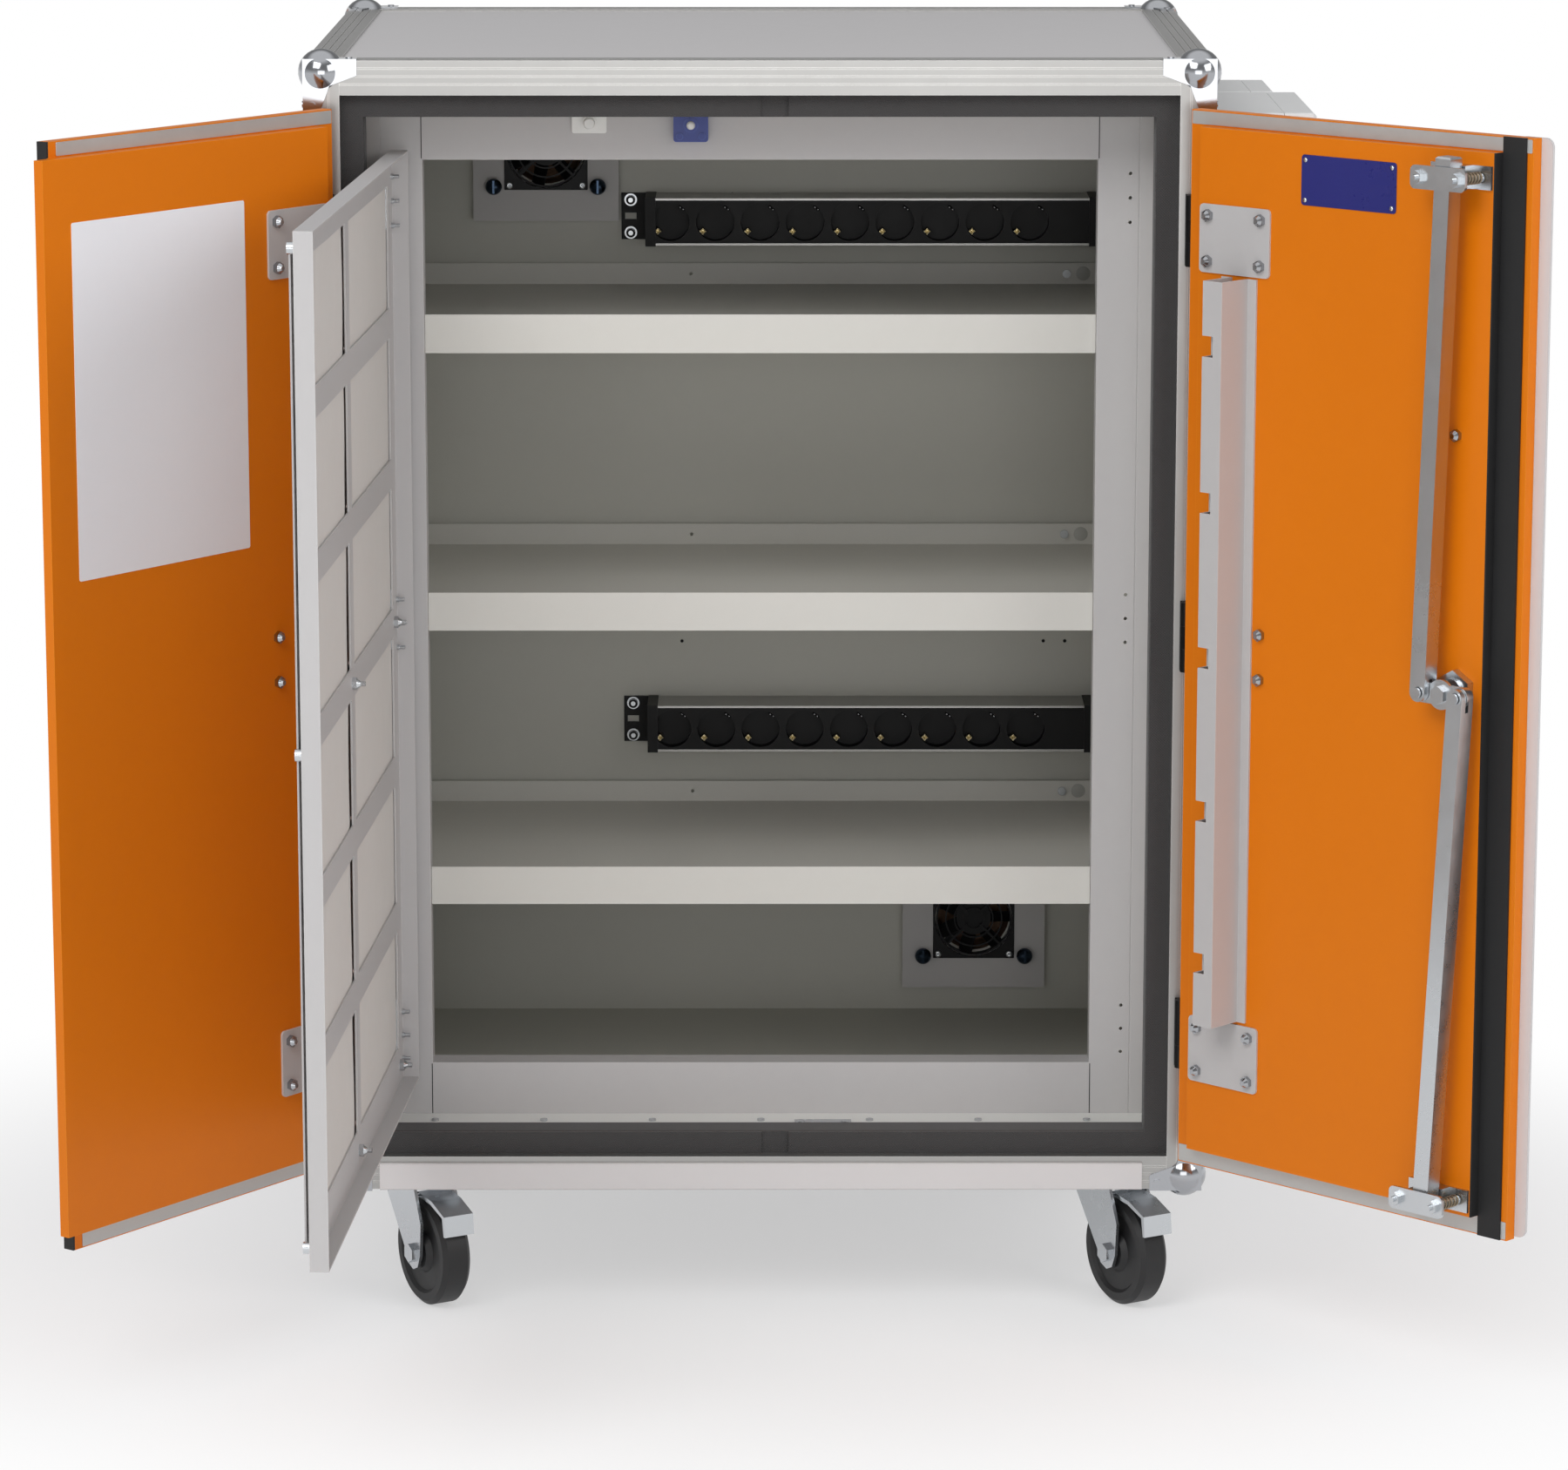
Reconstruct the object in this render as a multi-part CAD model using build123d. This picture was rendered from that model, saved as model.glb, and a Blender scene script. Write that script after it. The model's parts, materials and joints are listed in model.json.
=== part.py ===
"""Mobile battery cabinet: an insulated double-door case on four castors.

The frame is millimetres. X runs to the right and is zero in the middle of the cabinet.
Y runs backwards from the plane of the front face. Z is the height above the floor.
"""
from build123d import *
import math
import os

# Case
WIDTH = 800.0
DEPTH = 600.0
TOP = 1152.0
BOTTOM = 126.0
EDGE = 30.5
SKIN = 2.0
BOARD = 10.0
SLOT_START = 14.0
GROOVE_PITCH = 7.0
GROOVE_WIDTH = 1.4
GROOVE_DEPTH = 0.7
FIT = 0.3

# Ball corners
BALL_RADIUS = 20.5
BALL_INSET = 14.0
BALL_DROP = 11.0
LEG_LENGTH = 46.0
LEG_ROOT = 22.0
LEG_TIP = 13.0
LEG_THICK = 1.5
RIVET_RADIUS = 3.0

# Front opening, seal and lining
SEAL_WIDTH = 20.0
SEAL_FACE = 11.0
SEAL_THICK = 4.0
LIP_BACK = 44.0
LINER_HALF = 356.0
LINER_SHEET = 2.0
LINER_FLOOR = 170.0
LINER_CEILING = 1105.0
LINER_BACK = 500.0

# Inner door frame
POST_FACE = 96.0
POST_EDGE = 303.0
HEADER_BOTTOM = 1055.0
FOOTER_TOP = 220.0
SHEET = 2.0
RETURN = 28.0
POST_SEAM = 340.0
POST_HOLE_X = 332.0
POST_HOLE_RADIUS = 1.6
HINGE_SCREW_PITCH = 22.0
POST_LEAF = 22.0

# Trays
TRAY_TOPS = (914.0, 659.0, 403.0)
TRAY_HALF = 350.0
TRAY_FRONT = 106.0
TRAY_BACK = 491.0
TRAY_RIM = 35.0
TRAY_DROP = 20.0
TRAY_SHEET = 1.5
EARTH_X = 295.0

# Socket strips
STRIP_X = (-135.0, 348.0)
STRIP_Z = (959.0, 464.0)
STRIP_HEIGHT = 45.0
STRIP_PROUD = 54.0
STRIP_EAR = 24.0
STRIP_EAR_THICK = 3.0
STRIP_BOLT_IN = 9.0
STRIP_BOLT_RISE = 15.9
CAP_WIDE = 10.0
CAP_LIP = 1.0
SOCKET_COUNT = 9
SOCKET_PITCH = 43.0
SOCKET_FIRST = -87.0
SOCKET_RADIUS = 18.5
SOCKET_DEPTH = 14.0
STRIP_WALL = 1.8

# Fans
FAN_CENTRES = ((-207.0, 1026.0), (209.0, 266.0))
FAN_PLATE = 140.0
FAN_PLATE_PROUD = 18.0
FAN_SIZE = 80.0
FAN_BORE = 38.0
FAN_THICK = 15.0
FAN_HUB = 17.0
FAN_BLADES = 7
FAN_SHAFT = 2.0
GUARD_RINGS = 3
KNOB_RADIUS = 8.0
KNOB_HALF_SPAN = 50.0
KNOB_HALF_RISE = 36.0

# Button and limit switch on the header
BUTTON_X = -153.0
BUTTON_Z = 1088.0
BUTTON_RADIUS = 5.0
BUTTON_TRAVEL = 3.0
SWITCH_X = -62.0
SWITCH_Z = 1087.0
SWITCH_WIDTH = 31.0
SWITCH_HEIGHT = 30.0
SWITCH_DEPTH = 12.0
PLUNGER_RADIUS = 3.8
PLUNGER_TRAVEL = 2.5

# Outer doors, described closed
DOOR_GAP = 2.5
GAP_BELOW = 5.0
GAP_ABOVE = 9.0
DOOR_SKIN = 11.0
DOOR_CORE = 12.0
LEFT_SKIN_EDGE = -8.0
LEFT_CORE_EDGE = 10.0
RIGHT_SKIN_EDGE = -5.0
RIGHT_CORE_EDGE = 25.0
HINGE_X = 381.0
HINGE_Y = -8.0
HINGE_HEIGHT = 63.0
HINGE_Z = (1003.0, 639.0, 274.0)
HINGE_BARREL = 6.0
HINGE_PIN = 2.5
HINGE_LEAF = 28.0
PIN_FIT = 0.05
LEFT_OPEN = 126.7
RIGHT_OPEN = 135.6
RUBBER_WIDE = 24.0
RUBBER_THICK = 2.2
EDGE_TRIM = 2.0
COVER_IN = 25.0
COVER_OUT = 11.5
COVER_STRIP = 3.0
COVER_RADIUS = 8.0
PLATE_WIDE = 79.0
PLATE_TALL = 60.0
PLATE_INSET = 2.0
PLATE_THICK = 2.0
NUT_RADIUS = 5.5
NUT_HEIGHT = 7.0

# Slotted channel and lock on the right door
CHANNEL_X = (289.0, 310.5)
CHANNEL_Z = (307.0, 971.0)
CHANNEL_DEEP = 37.0
NOTCH = 18.5
NOTCH_PITCH = 137.5
NOTCH_COUNT = 5
LOCK_X = 52.0
LOCK_Z = 639.0
CAM_ARM = 20.0
CAM_THICK = 3.0
CAM_HALF = 9.0
CAM_FIT = 0.5
ROD = 16.0
ROD_CENTRE = 45.5
ROD_FIT = 0.8
ROD_REACH = 457.0
GUIDE_REACH = 442.5
GUIDE_DROP = 3.5
GUIDE_SHIFT = 5.0
GUIDE_STUDS = (-18.0, 22.0)
STUD_RADIUS = 2.5
SPRING_RADIUS = 4.0
LOCK_PIN = 3.0
SHAFT_RADIUS = 7.0

# Filter door, described closed
FILTER_LEFT = -317.0
FILTER_RIGHT = 311.0
FILTER_Z = (210.0, 1065.0)
FILTER_FACE = 78.0
FILTER_THICK = 16.0
FILTER_OPEN = 93.4
FILTER_HINGE_X = FILTER_LEFT - 5.5
FILTER_HINGE_Z = (1020.6, 636.8, 252.2)
FILTER_HINGE_TALL = 56.0
FILTER_HINGE_PIN = 1.5
FILTER_BARREL = 3.5
FILTER_COLUMNS = 2
FILTER_ROWS = 6
FILTER_STILE = 33.0
FILTER_MIDDLE = 22.0
FILTER_BAR = 26.7
FILTER_FOOT = 36.2
FILTER_HEAD = 28.8
FILTER_WALL = 1.5
MAT_THICK = 4.0
MAT_LAP = 7.0
COVER_INSET = 14.0
BUMPER_Z = (229.0, 641.0, 1051.0)
FILTER_NUT_X = (-292.5, 1.0)
FILTER_NUT_Z = (228.0, 641.0)

# Castors
WHEEL_RADIUS = 50.0
WHEEL_WIDTH = 32.0
CASTOR_X = 320.0
CASTOR_FRONT = 95.0
CASTOR_REAR = 505.0
CASTOR_TRAIL = 35.0
CASTOR_TURN = 30.0
AXLE_RADIUS = 5.0
FORK_GAP = 2.5
FORK_SHEET = 3.0
PEDAL_PIN = 2.2
PEDAL_AT = (-32.5, 104.5)
CASTOR_PLATE_X = 94.0
CASTOR_PLATE_Y = 84.0

# Control box on the right wall
BOX_TOP = 1097.0
BOX_HEIGHT = 300.0
BOX_Y = (92.0, 300.0, 426.0)
BOX_PROUD = (98.0, 78.0)
BOX_SPLIT = 0.7
BOX_WALL = 2.5

# Front cover board
COVER_HALF = 347.0
COVER_HEIGHT = 25.0
COVER_THICK = 4.0

FORK_WIDTH = WHEEL_WIDTH + 2 * (FORK_GAP + FORK_SHEET)
HALF = WIDTH / 2
OPEN_HALF = HALF - EDGE
OPEN_LOW = BOTTOM + EDGE
OPEN_HIGH = TOP - EDGE
IN_HALF = OPEN_HALF - SEAL_WIDTH
IN_LOW = OPEN_LOW + SEAL_WIDTH
IN_HIGH = OPEN_HIGH - SEAL_WIDTH
BACK_Y = LINER_BACK + LINER_SHEET
CORE_FACE = DOOR_SKIN + DOOR_CORE
SKIN_LOW = OPEN_LOW + GAP_BELOW
SKIN_HIGH = OPEN_HIGH - GAP_ABOVE
CORE_LOW = IN_LOW + DOOR_GAP
CORE_HIGH = IN_HIGH - DOOR_GAP
SKIN_SIDE = OPEN_HALF - DOOR_GAP
CORE_SIDE = IN_HALF - DOOR_GAP


def slab(x, y, z):
    """A box from its lowest and highest x, y and z."""
    centre = Pos((x[0] + x[1]) / 2, (y[0] + y[1]) / 2, (z[0] + z[1]) / 2)
    return centre * Box(x[1] - x[0], y[1] - y[0], z[1] - z[0])


def disc(radius, start, direction, length):
    """A round bar that starts at a point and runs along a direction."""
    return extrude(Plane(origin=start, z_dir=direction) * Circle(radius), length)


def hexagon(radius, start, direction, length):
    """A six-sided bar; radius is to its corners."""
    return extrude(Plane(origin=start, z_dir=direction) * RegularPolygon(radius, 6), length)


def left_of(shape):
    """The same shape on the other side of the middle plane."""
    return mirror(shape, about=Plane.YZ)


def save(node, *shapes):
    """Write one node, as separate solids when there are several."""
    solids = []
    for shape in shapes:
        solids += shape.solids()
    whole = solids[0] if len(solids) == 1 else Compound(solids)
    export_step(whole, f"parts/{node}.step")


def turn_at(shape, x, y, angle):
    """The shape turned about the upright line through x and y."""
    return Pos(x, y, 0) * Rot(0, 0, angle) * Pos(-x, -y, 0) * shape


def section_box(u, v):
    """A rectangle in a section plane."""
    return Pos((u[0] + u[1]) / 2, (v[0] + v[1]) / 2) * Rectangle(u[1] - u[0], v[1] - v[0])


def edge_section(double):
    """The edge extrusion's section, its outer corner at the origin, with one or two board slots."""
    face = section_box((0, EDGE), (0, EDGE))
    slot = (SKIN, SKIN + BOARD)
    run = (SLOT_START, EDGE)
    hollow = (SLOT_START, EDGE - SKIN)
    face -= section_box(slot, run)
    if double:
        face -= section_box(run, slot)
        face -= section_box(hollow, hollow)
    else:
        face -= section_box(hollow, (SKIN, EDGE - SKIN))
    steps = int((EDGE - GROOVE_PITCH / 2) // GROOVE_PITCH)
    for step in range(steps):
        place = GROOVE_PITCH * (step + 1)
        groove = (place - GROOVE_WIDTH / 2, place + GROOVE_WIDTH / 2)
        face -= section_box(groove, (0, GROOVE_DEPTH))
        face -= section_box((0, GROOVE_DEPTH), groove)
    return face


def four_ways(shape):
    """The shape at left front, right front, left rear and right rear."""
    rear = mirror(shape, about=Plane(origin=(0, DEPTH / 2, 0), z_dir=(0, 1, 0)))
    return [shape, left_of(shape), rear, left_of(rear)]


def edge_extrusions():
    """Four uprights, four rails across and four rails from front to back."""
    height = TOP - BOTTOM
    middle = (TOP + BOTTOM) / 2
    flip = Plane(origin=(0, 0, middle), z_dir=(0, 0, 1))
    rear = Plane(origin=(0, DEPTH / 2, 0), z_dir=(0, 1, 0))
    bars = []
    for double in (False, True):
        foot = Plane(origin=(-HALF, 0, BOTTOM), x_dir=(1, 0, 0), z_dir=(0, 0, 1))
        upright = extrude(foot * edge_section(double), height)
        side = Plane(origin=(-OPEN_HALF, 0, TOP), x_dir=(0, 0, -1), z_dir=(1, 0, 0))
        rail = extrude(side * edge_section(double), 2 * OPEN_HALF)
        pair = [upright, left_of(upright), rail, mirror(rail, about=flip)]
        bars += [mirror(bar, about=rear) for bar in pair] if double else pair
    end = Plane(origin=(-HALF, EDGE, TOP), x_dir=(1, 0, 0), z_dir=(0, 1, 0))
    deep = extrude(end * edge_section(True), DEPTH - 2 * EDGE)
    low = mirror(deep, about=flip)
    return bars + [deep, left_of(deep), low, left_of(low)]


def wall_boards():
    """Side, back and bottom boards in the slots of the extrusions."""
    inset = (SKIN, SKIN + BOARD)
    low = BOTTOM + SLOT_START
    high = TOP - SLOT_START
    side = slab((-HALF + inset[0], -HALF + inset[1]), (SLOT_START, DEPTH - SLOT_START), (low, high))
    span = (-HALF + SLOT_START, HALF - SLOT_START)
    back = slab(span, (DEPTH - inset[1], DEPTH - inset[0]), (low, high))
    base = flat_board(BOTTOM + inset[0])
    return [side, left_of(side), back, base]


def flat_board(z):
    """The top or bottom board, its corners cut out around the uprights."""
    span = (-HALF + SLOT_START, HALF - SLOT_START)
    board = slab(span, (SLOT_START, DEPTH - SLOT_START), (z, z + BOARD))
    for corner in four_ways(slab((-HALF, -OPEN_HALF), (0, EDGE), (z - 1, z + BOARD + 1))):
        board -= corner
    return board


def cover_board():
    """The loose board that hides the front edge of the base."""
    board = slab((-COVER_HALF, COVER_HALF), (-COVER_THICK, 0), (BOTTOM, BOTTOM + COVER_HEIGHT))
    return chamfer(board.edges().filter_by(Axis.X).group_by(Axis.Y)[0], 1.0)


def ball_corner():
    """One pressed corner at the left front top: a ball with three riveted legs."""
    centre = (-HALF + BALL_INSET, BALL_INSET, TOP - BALL_DROP)
    ball = Pos(*centre) * Sphere(BALL_RADIUS)
    case = slab((-HALF, HALF), (0, DEPTH), (BOTTOM, TOP))
    wrap = -LEG_THICK
    leg = Polyline(
        (wrap, wrap), (LEG_LENGTH, wrap), (LEG_LENGTH, LEG_TIP), (LEG_ROOT, LEG_ROOT),
        (LEG_TIP, LEG_LENGTH), (wrap, LEG_LENGTH), close=True,
    )
    face = make_face(leg)
    corner = (-HALF, 0, TOP)
    planes = (
        Plane(origin=corner, x_dir=(1, 0, 0), z_dir=(0, -1, 0)),
        Plane(origin=corner, x_dir=(1, 0, 0), z_dir=(0, 0, 1)),
        Plane(origin=corner, x_dir=(0, 1, 0), z_dir=(-1, 0, 0)),
    )
    shape = ball
    for plane, flip in zip(planes, (-1, 1, 1)):
        cap = face if flip > 0 else mirror(face, about=Plane.XZ)
        shape += extrude(plane * cap, LEG_THICK)
        for u, v in ((LEG_LENGTH - 7, LEG_TIP / 2), (LEG_TIP / 2, LEG_LENGTH - 7)):
            head = plane * Pos(u, v * flip, LEG_THICK) * Cylinder(RIVET_RADIUS, 2.4)
            shape += head
    return shape - case


def ball_corners():
    """Eight corners; the four lower ones are the upper ones upside down."""
    flip = Plane(origin=(0, 0, (TOP + BOTTOM) / 2), z_dir=(0, 0, 1))
    upper = four_ways(ball_corner())
    return upper + [mirror(corner, about=flip) for corner in upper]


def ring(outer, inner, y):
    """A rectangular ring across the opening; outer and inner are half width, low and high."""
    whole = slab((-outer[0], outer[0]), y, outer[1:])
    return whole - slab((-inner[0], inner[0]), (y[0] - 1, y[1] + 1), inner[1:])


def wall_core():
    """The insulating lining between boards and liner, with the lip that carries the seal."""
    inset = SKIN + BOARD
    ys = (EDGE, DEPTH - EDGE)
    core = slab((-HALF + inset, HALF - inset), ys, (OPEN_LOW, OPEN_HIGH))
    core += slab((-OPEN_HALF, OPEN_HALF), ys, (BOTTOM + inset, TOP - inset))
    core += slab((-OPEN_HALF, OPEN_HALF), (EDGE, DEPTH - inset), (OPEN_LOW, OPEN_HIGH))
    liner = LINER_HALF + LINER_SHEET
    lows = (LINER_FLOOR - LINER_SHEET, LINER_CEILING + LINER_SHEET)
    core -= slab((-liner, liner), (0, BACK_Y), lows)
    lip = (SEAL_FACE + SEAL_THICK, LIP_BACK)
    edge = ring((OPEN_HALF, OPEN_LOW, OPEN_HIGH), (IN_HALF, IN_LOW, IN_HIGH), lip)
    core += edge
    for x, z in FAN_CENTRES:
        core -= disc(FAN_BORE - 2, (x, BACK_Y - 1, z), (0, 1, 0), 41)
    return core - rod_slot(IN_LOW - 22, IN_LOW + 1) - rod_slot(IN_HIGH - 1, IN_HIGH + 22)


def rod_slot(low, high):
    """The opening for a lock rod, between two heights."""
    x = LOCK_X + GUIDE_SHIFT
    y = (ROD_CENTRE - ROD / 2 - 2, ROD_CENTRE + ROD / 2 + 2)
    return slab((x - ROD / 2 - 3, x + ROD / 2 + 3), y, (low, high))


def liner_sheets():
    """The five sheets that line the inside; the back one has a hole behind each fan."""
    outer = LINER_HALF + LINER_SHEET
    front = ROD_CENTRE + ROD / 2 + 3
    zs = (LINER_FLOOR - LINER_SHEET, LINER_CEILING + LINER_SHEET)
    back = slab((-outer, outer), (LINER_BACK, BACK_Y), zs)
    for x, z in FAN_CENTRES:
        back -= disc(FAN_BORE - 2, (x, LINER_BACK - 1, z), (0, 1, 0), LINER_SHEET + 2)
    floor = slab((-outer, outer), (front, LINER_BACK), (zs[0], LINER_FLOOR))
    ceiling = slab((-outer, outer), (front, LINER_BACK), (LINER_CEILING, zs[1]))
    wall = slab((LINER_HALF, outer), (LIP_BACK, LINER_BACK), (LINER_FLOOR, LINER_CEILING))
    return back, floor, ceiling, wall, left_of(wall)


def inner_frame():
    """The welded frame around the shelves: posts, header, footer and a return all round."""
    wide = LINER_HALF - FIT
    low = LINER_FLOOR + FIT
    high = LINER_CEILING - FIT
    hole = (POST_EDGE, FOOTER_TOP, HEADER_BOTTOM)
    ys = (POST_FACE, POST_FACE + SHEET)
    frame = ring((wide, low, high), hole, ys)
    back = (POST_FACE, POST_FACE + RETURN)
    grown = (POST_EDGE + SHEET, FOOTER_TOP - SHEET, HEADER_BOTTOM + SHEET)
    frame += ring(grown, hole, back)
    frame += ring((wide, low, high), (wide - SHEET, low + SHEET, high - SHEET), back)
    for side in (-1, 1):
        x = side * POST_SEAM
        frame -= slab((x - 0.5, x + 0.5), (POST_FACE - 1, POST_FACE + 0.8), (low - 1, high + 1))
        for z in FILTER_HINGE_Z:
            for step in (-1, 0, 1):
                start = (side * POST_HOLE_X, POST_FACE - 1, z + step * HINGE_SCREW_PITCH)
                frame -= disc(POST_HOLE_RADIUS, start, (0, 1, 0), SHEET + 2)
    return frame


def tray_cleats():
    """Angle irons on the side walls that carry the trays."""
    cleats = []
    for top in TRAY_TOPS:
        z = top - TRAY_RIM
        ys = (POST_FACE + RETURN + 2, TRAY_BACK - 10)
        iron = slab((-LINER_HALF, -LINER_HALF + 22), ys, (z - SHEET, z))
        iron += slab((-LINER_HALF, -LINER_HALF + SHEET), ys, (z - 20, z))
        cleats += [iron, left_of(iron)]
    return cleats


def tray(top):
    """One sheet tray: a floor, four rims, the front and side rims reaching below the floor."""
    ys = (TRAY_FRONT, TRAY_BACK)
    body = slab((-TRAY_HALF, TRAY_HALF), ys, (top - TRAY_RIM, top))
    inside = TRAY_HALF - TRAY_SHEET
    room = (TRAY_FRONT + TRAY_SHEET, TRAY_BACK - TRAY_SHEET)
    floor = top - TRAY_DROP
    body -= slab((-inside, inside), room, (floor, top + 1))
    body -= slab((-inside, inside), (room[0], TRAY_BACK + 1), (top - TRAY_RIM - 1, floor - TRAY_SHEET))
    post = POST_EDGE - FIT
    for side in (-1, 1):
        x = sorted((side * post, side * (TRAY_HALF + 1)))
        body -= slab(x, (0, POST_FACE + RETURN + FIT), (top - TRAY_RIM - 1, top + 1))
    for x in (-68.0, EARTH_X + 18):
        start = (x, TRAY_BACK - TRAY_SHEET - 1, top - TRAY_DROP / 2)
        body -= disc(1.8, start, (0, 1, 0), TRAY_SHEET + 2)
    return body


def sill_plate():
    """The white plate on the sill between the lip and the inner frame, slotted for the rod."""
    ys = (LIP_BACK + FIT, POST_FACE - FIT)
    plate = slab((-LINER_HALF + FIT, LINER_HALF - FIT), ys, (LINER_FLOOR, LINER_FLOOR + 1.5))
    return plate - rod_slot(LINER_FLOOR - 5, LINER_FLOOR + 5)


def strike_plate():
    """The slotted plate that takes the lower lock rod."""
    top = LINER_FLOOR + 1.5
    ys = (LIP_BACK + 1, LIP_BACK + 23)
    x = LOCK_X + GUIDE_SHIFT
    plate = slab((x - 26, x + 26), ys, (top, top + 2))
    return plate - rod_slot(LINER_FLOOR - 5, LINER_FLOOR + 5)


def front_screws():
    """Screws in the sill, in the strike plate and in the tray rims and strip ears."""
    heads = []
    top = LINER_FLOOR + 1.5
    for step in range(-3, 4):
        heads.append(disc(3.4, (step * 100.0, (LIP_BACK + POST_FACE) / 2, top), (0, 0, 1), 1.6))
    for step in (-1, 1):
        x = LOCK_X + GUIDE_SHIFT + step * 20
        heads.append(disc(3.2, (x, LIP_BACK + 12, top + 2), (0, 0, 1), 1.6))
    for top in TRAY_TOPS:
        start = (EARTH_X, TRAY_BACK - TRAY_SHEET, top - TRAY_DROP / 2)
        heads.append(disc(4.0, start, (0, -1, 0), 3.5))
    return heads


def strip_rail(z):
    """The aluminium rail of a socket strip: a U open to the front, between the end caps."""
    low = z - STRIP_HEIGHT / 2
    high = z + STRIP_HEIGHT / 2
    face = LINER_BACK - STRIP_PROUD
    xs = (STRIP_X[0] + STRIP_EAR + CAP_WIDE, STRIP_X[1] - STRIP_EAR - CAP_WIDE)
    rail = slab(xs, (face, LINER_BACK - STRIP_EAR_THICK), (low, high))
    room = (xs[0] - 1, xs[1] + 1), (face - 1, LINER_BACK - 6), (low + STRIP_WALL, high - STRIP_WALL)
    return rail - slab(*room)


def strip_face(z):
    """The black front of a socket strip with nine round wells."""
    low = z - STRIP_HEIGHT / 2 + STRIP_WALL
    high = z + STRIP_HEIGHT / 2 - STRIP_WALL
    face = LINER_BACK - STRIP_PROUD + 1.0
    xs = (STRIP_X[0] + STRIP_EAR + CAP_WIDE, STRIP_X[1] - STRIP_EAR - CAP_WIDE)
    body = slab(xs, (face, face + SOCKET_DEPTH + 3), (low, high))
    for step in range(SOCKET_COUNT):
        x = SOCKET_FIRST + step * SOCKET_PITCH
        body -= disc(SOCKET_RADIUS, (x, face - 1, z), (0, 1, 0), SOCKET_DEPTH + 1)
    return body


def strip_end(side, z):
    """A black end cap of a socket strip with its mounting ear; the ear has a slot."""
    edge = STRIP_X[0] if side < 0 else STRIP_X[1]
    inner = edge - side * STRIP_EAR
    xs = sorted((inner, inner - side * CAP_WIDE))
    zs = (z - STRIP_HEIGHT / 2 - CAP_LIP, z + STRIP_HEIGHT / 2 + CAP_LIP)
    cap = slab(xs, (LINER_BACK - STRIP_PROUD - CAP_LIP, LINER_BACK - STRIP_EAR_THICK), zs)
    ys = (LINER_BACK - STRIP_EAR_THICK, LINER_BACK)
    ear = slab(sorted((edge, inner - side * CAP_WIDE)), ys, (z - STRIP_HEIGHT / 2, z + STRIP_HEIGHT / 2))
    x = edge - side * STRIP_BOLT_IN
    return cap + ear - slab((x - 5.5, x + 5.5), (ys[0] - 1, ys[1] + 1), (z - 3.2, z + 3.2))


def strip_bolts():
    """Socket-head bolts, two in each ear."""
    bolts = []
    for z in STRIP_Z:
        for x in (STRIP_X[0] + STRIP_BOLT_IN, STRIP_X[1] - STRIP_BOLT_IN):
            for rise in (-STRIP_BOLT_RISE, STRIP_BOLT_RISE):
                seat = LINER_BACK - STRIP_EAR_THICK
                washer = disc(6.0, (x, seat, z + rise), (0, -1, 0), 1.2)
                bolts.append(washer + disc(4.4, (x, seat - 1.2, z + rise), (0, -1, 0), 4.0))
    return bolts


def fan_plate(x, z):
    """The pan-shaped plate that carries a fan on the back wall."""
    half = FAN_PLATE / 2
    front = LINER_BACK - FAN_PLATE_PROUD
    pan = slab((x - half, x + half), (front, LINER_BACK), (z - half, z + half))
    inner = half - SHEET
    pan -= slab((x - inner, x + inner), (front + SHEET, LINER_BACK + 1), (z - inner, z + inner))
    return pan - disc(FAN_BORE, (x, front - 1, z), (0, 1, 0), SHEET + 2)


def fan_unit(x, z):
    """The fan's square housing with its motor spider, and the ring guard in front."""
    half = FAN_SIZE / 2
    front = LINER_BACK - FAN_PLATE_PROUD + SHEET
    back = front + FAN_THICK
    body = slab((x - half, x + half), (front, back), (z - half, z + half))
    body = fillet(body.edges().filter_by(Axis.Y), 4)
    body -= disc(FAN_BORE, (x, front - 1, z), (0, 1, 0), FAN_THICK + 2)
    for step in range(4):
        arm = Pos(FAN_BORE / 2 + 1, 0, 0) * Box(FAN_BORE, 3.0, 5.0)
        body += Pos(x, back - 1.5, z) * Rot(0, 45 + 90 * step, 0) * arm
    body += disc(FAN_HUB - 1, (x, back - 3, z), (0, 1, 0), 3)
    body += disc(FAN_SHAFT, (x, back - 3, z), (0, -1, 0), FAN_THICK - 5)
    face = LINER_BACK - FAN_PLATE_PROUD
    wires = None
    for step in range(GUARD_RINGS + 1):
        radius = FAN_HUB - 6 + (FAN_BORE - FAN_HUB + 5) * step / GUARD_RINGS
        hoop = disc(radius, (x, face, z), (0, -1, 0), 1.6)
        hoop -= disc(radius - 1.4, (x, face + 1, z), (0, -1, 0), 4)
        wires = hoop if wires is None else wires + hoop
    for step in range(4):
        arm = Pos(FAN_BORE * 0.70, 0, 0) * Box(FAN_BORE * 0.98, 1.6, 2.0)
        wires += Pos(x, face - 0.8, z) * Rot(0, 45 + 90 * step, 0) * arm
    return [body, wires]


def rotor(x, z):
    """The fan's hub and seven pitched blades."""
    front = LINER_BACK - FAN_PLATE_PROUD + SHEET
    deep = FAN_THICK - 4.5
    hub = disc(FAN_HUB, (x, front + 0.8, z), (0, 1, 0), deep)
    reach = FAN_BORE - 1.5
    sweep = disc(reach, (x, front + 0.8, z), (0, 1, 0), deep)
    for step in range(FAN_BLADES):
        blade = Pos((reach + FAN_HUB) / 2, 0, 0) * Rot(38, 0, 0) * Box(reach - FAN_HUB + 8, 1.4, 15)
        turned = Rot(0, 360 * step / FAN_BLADES, 0) * blade
        hub += (Pos(x, front + 0.8 + deep / 2, z) * turned) & sweep
    return hub - disc(FAN_SHAFT + PIN_FIT, (x, front + 1.8, z), (0, 1, 0), deep)


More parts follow.
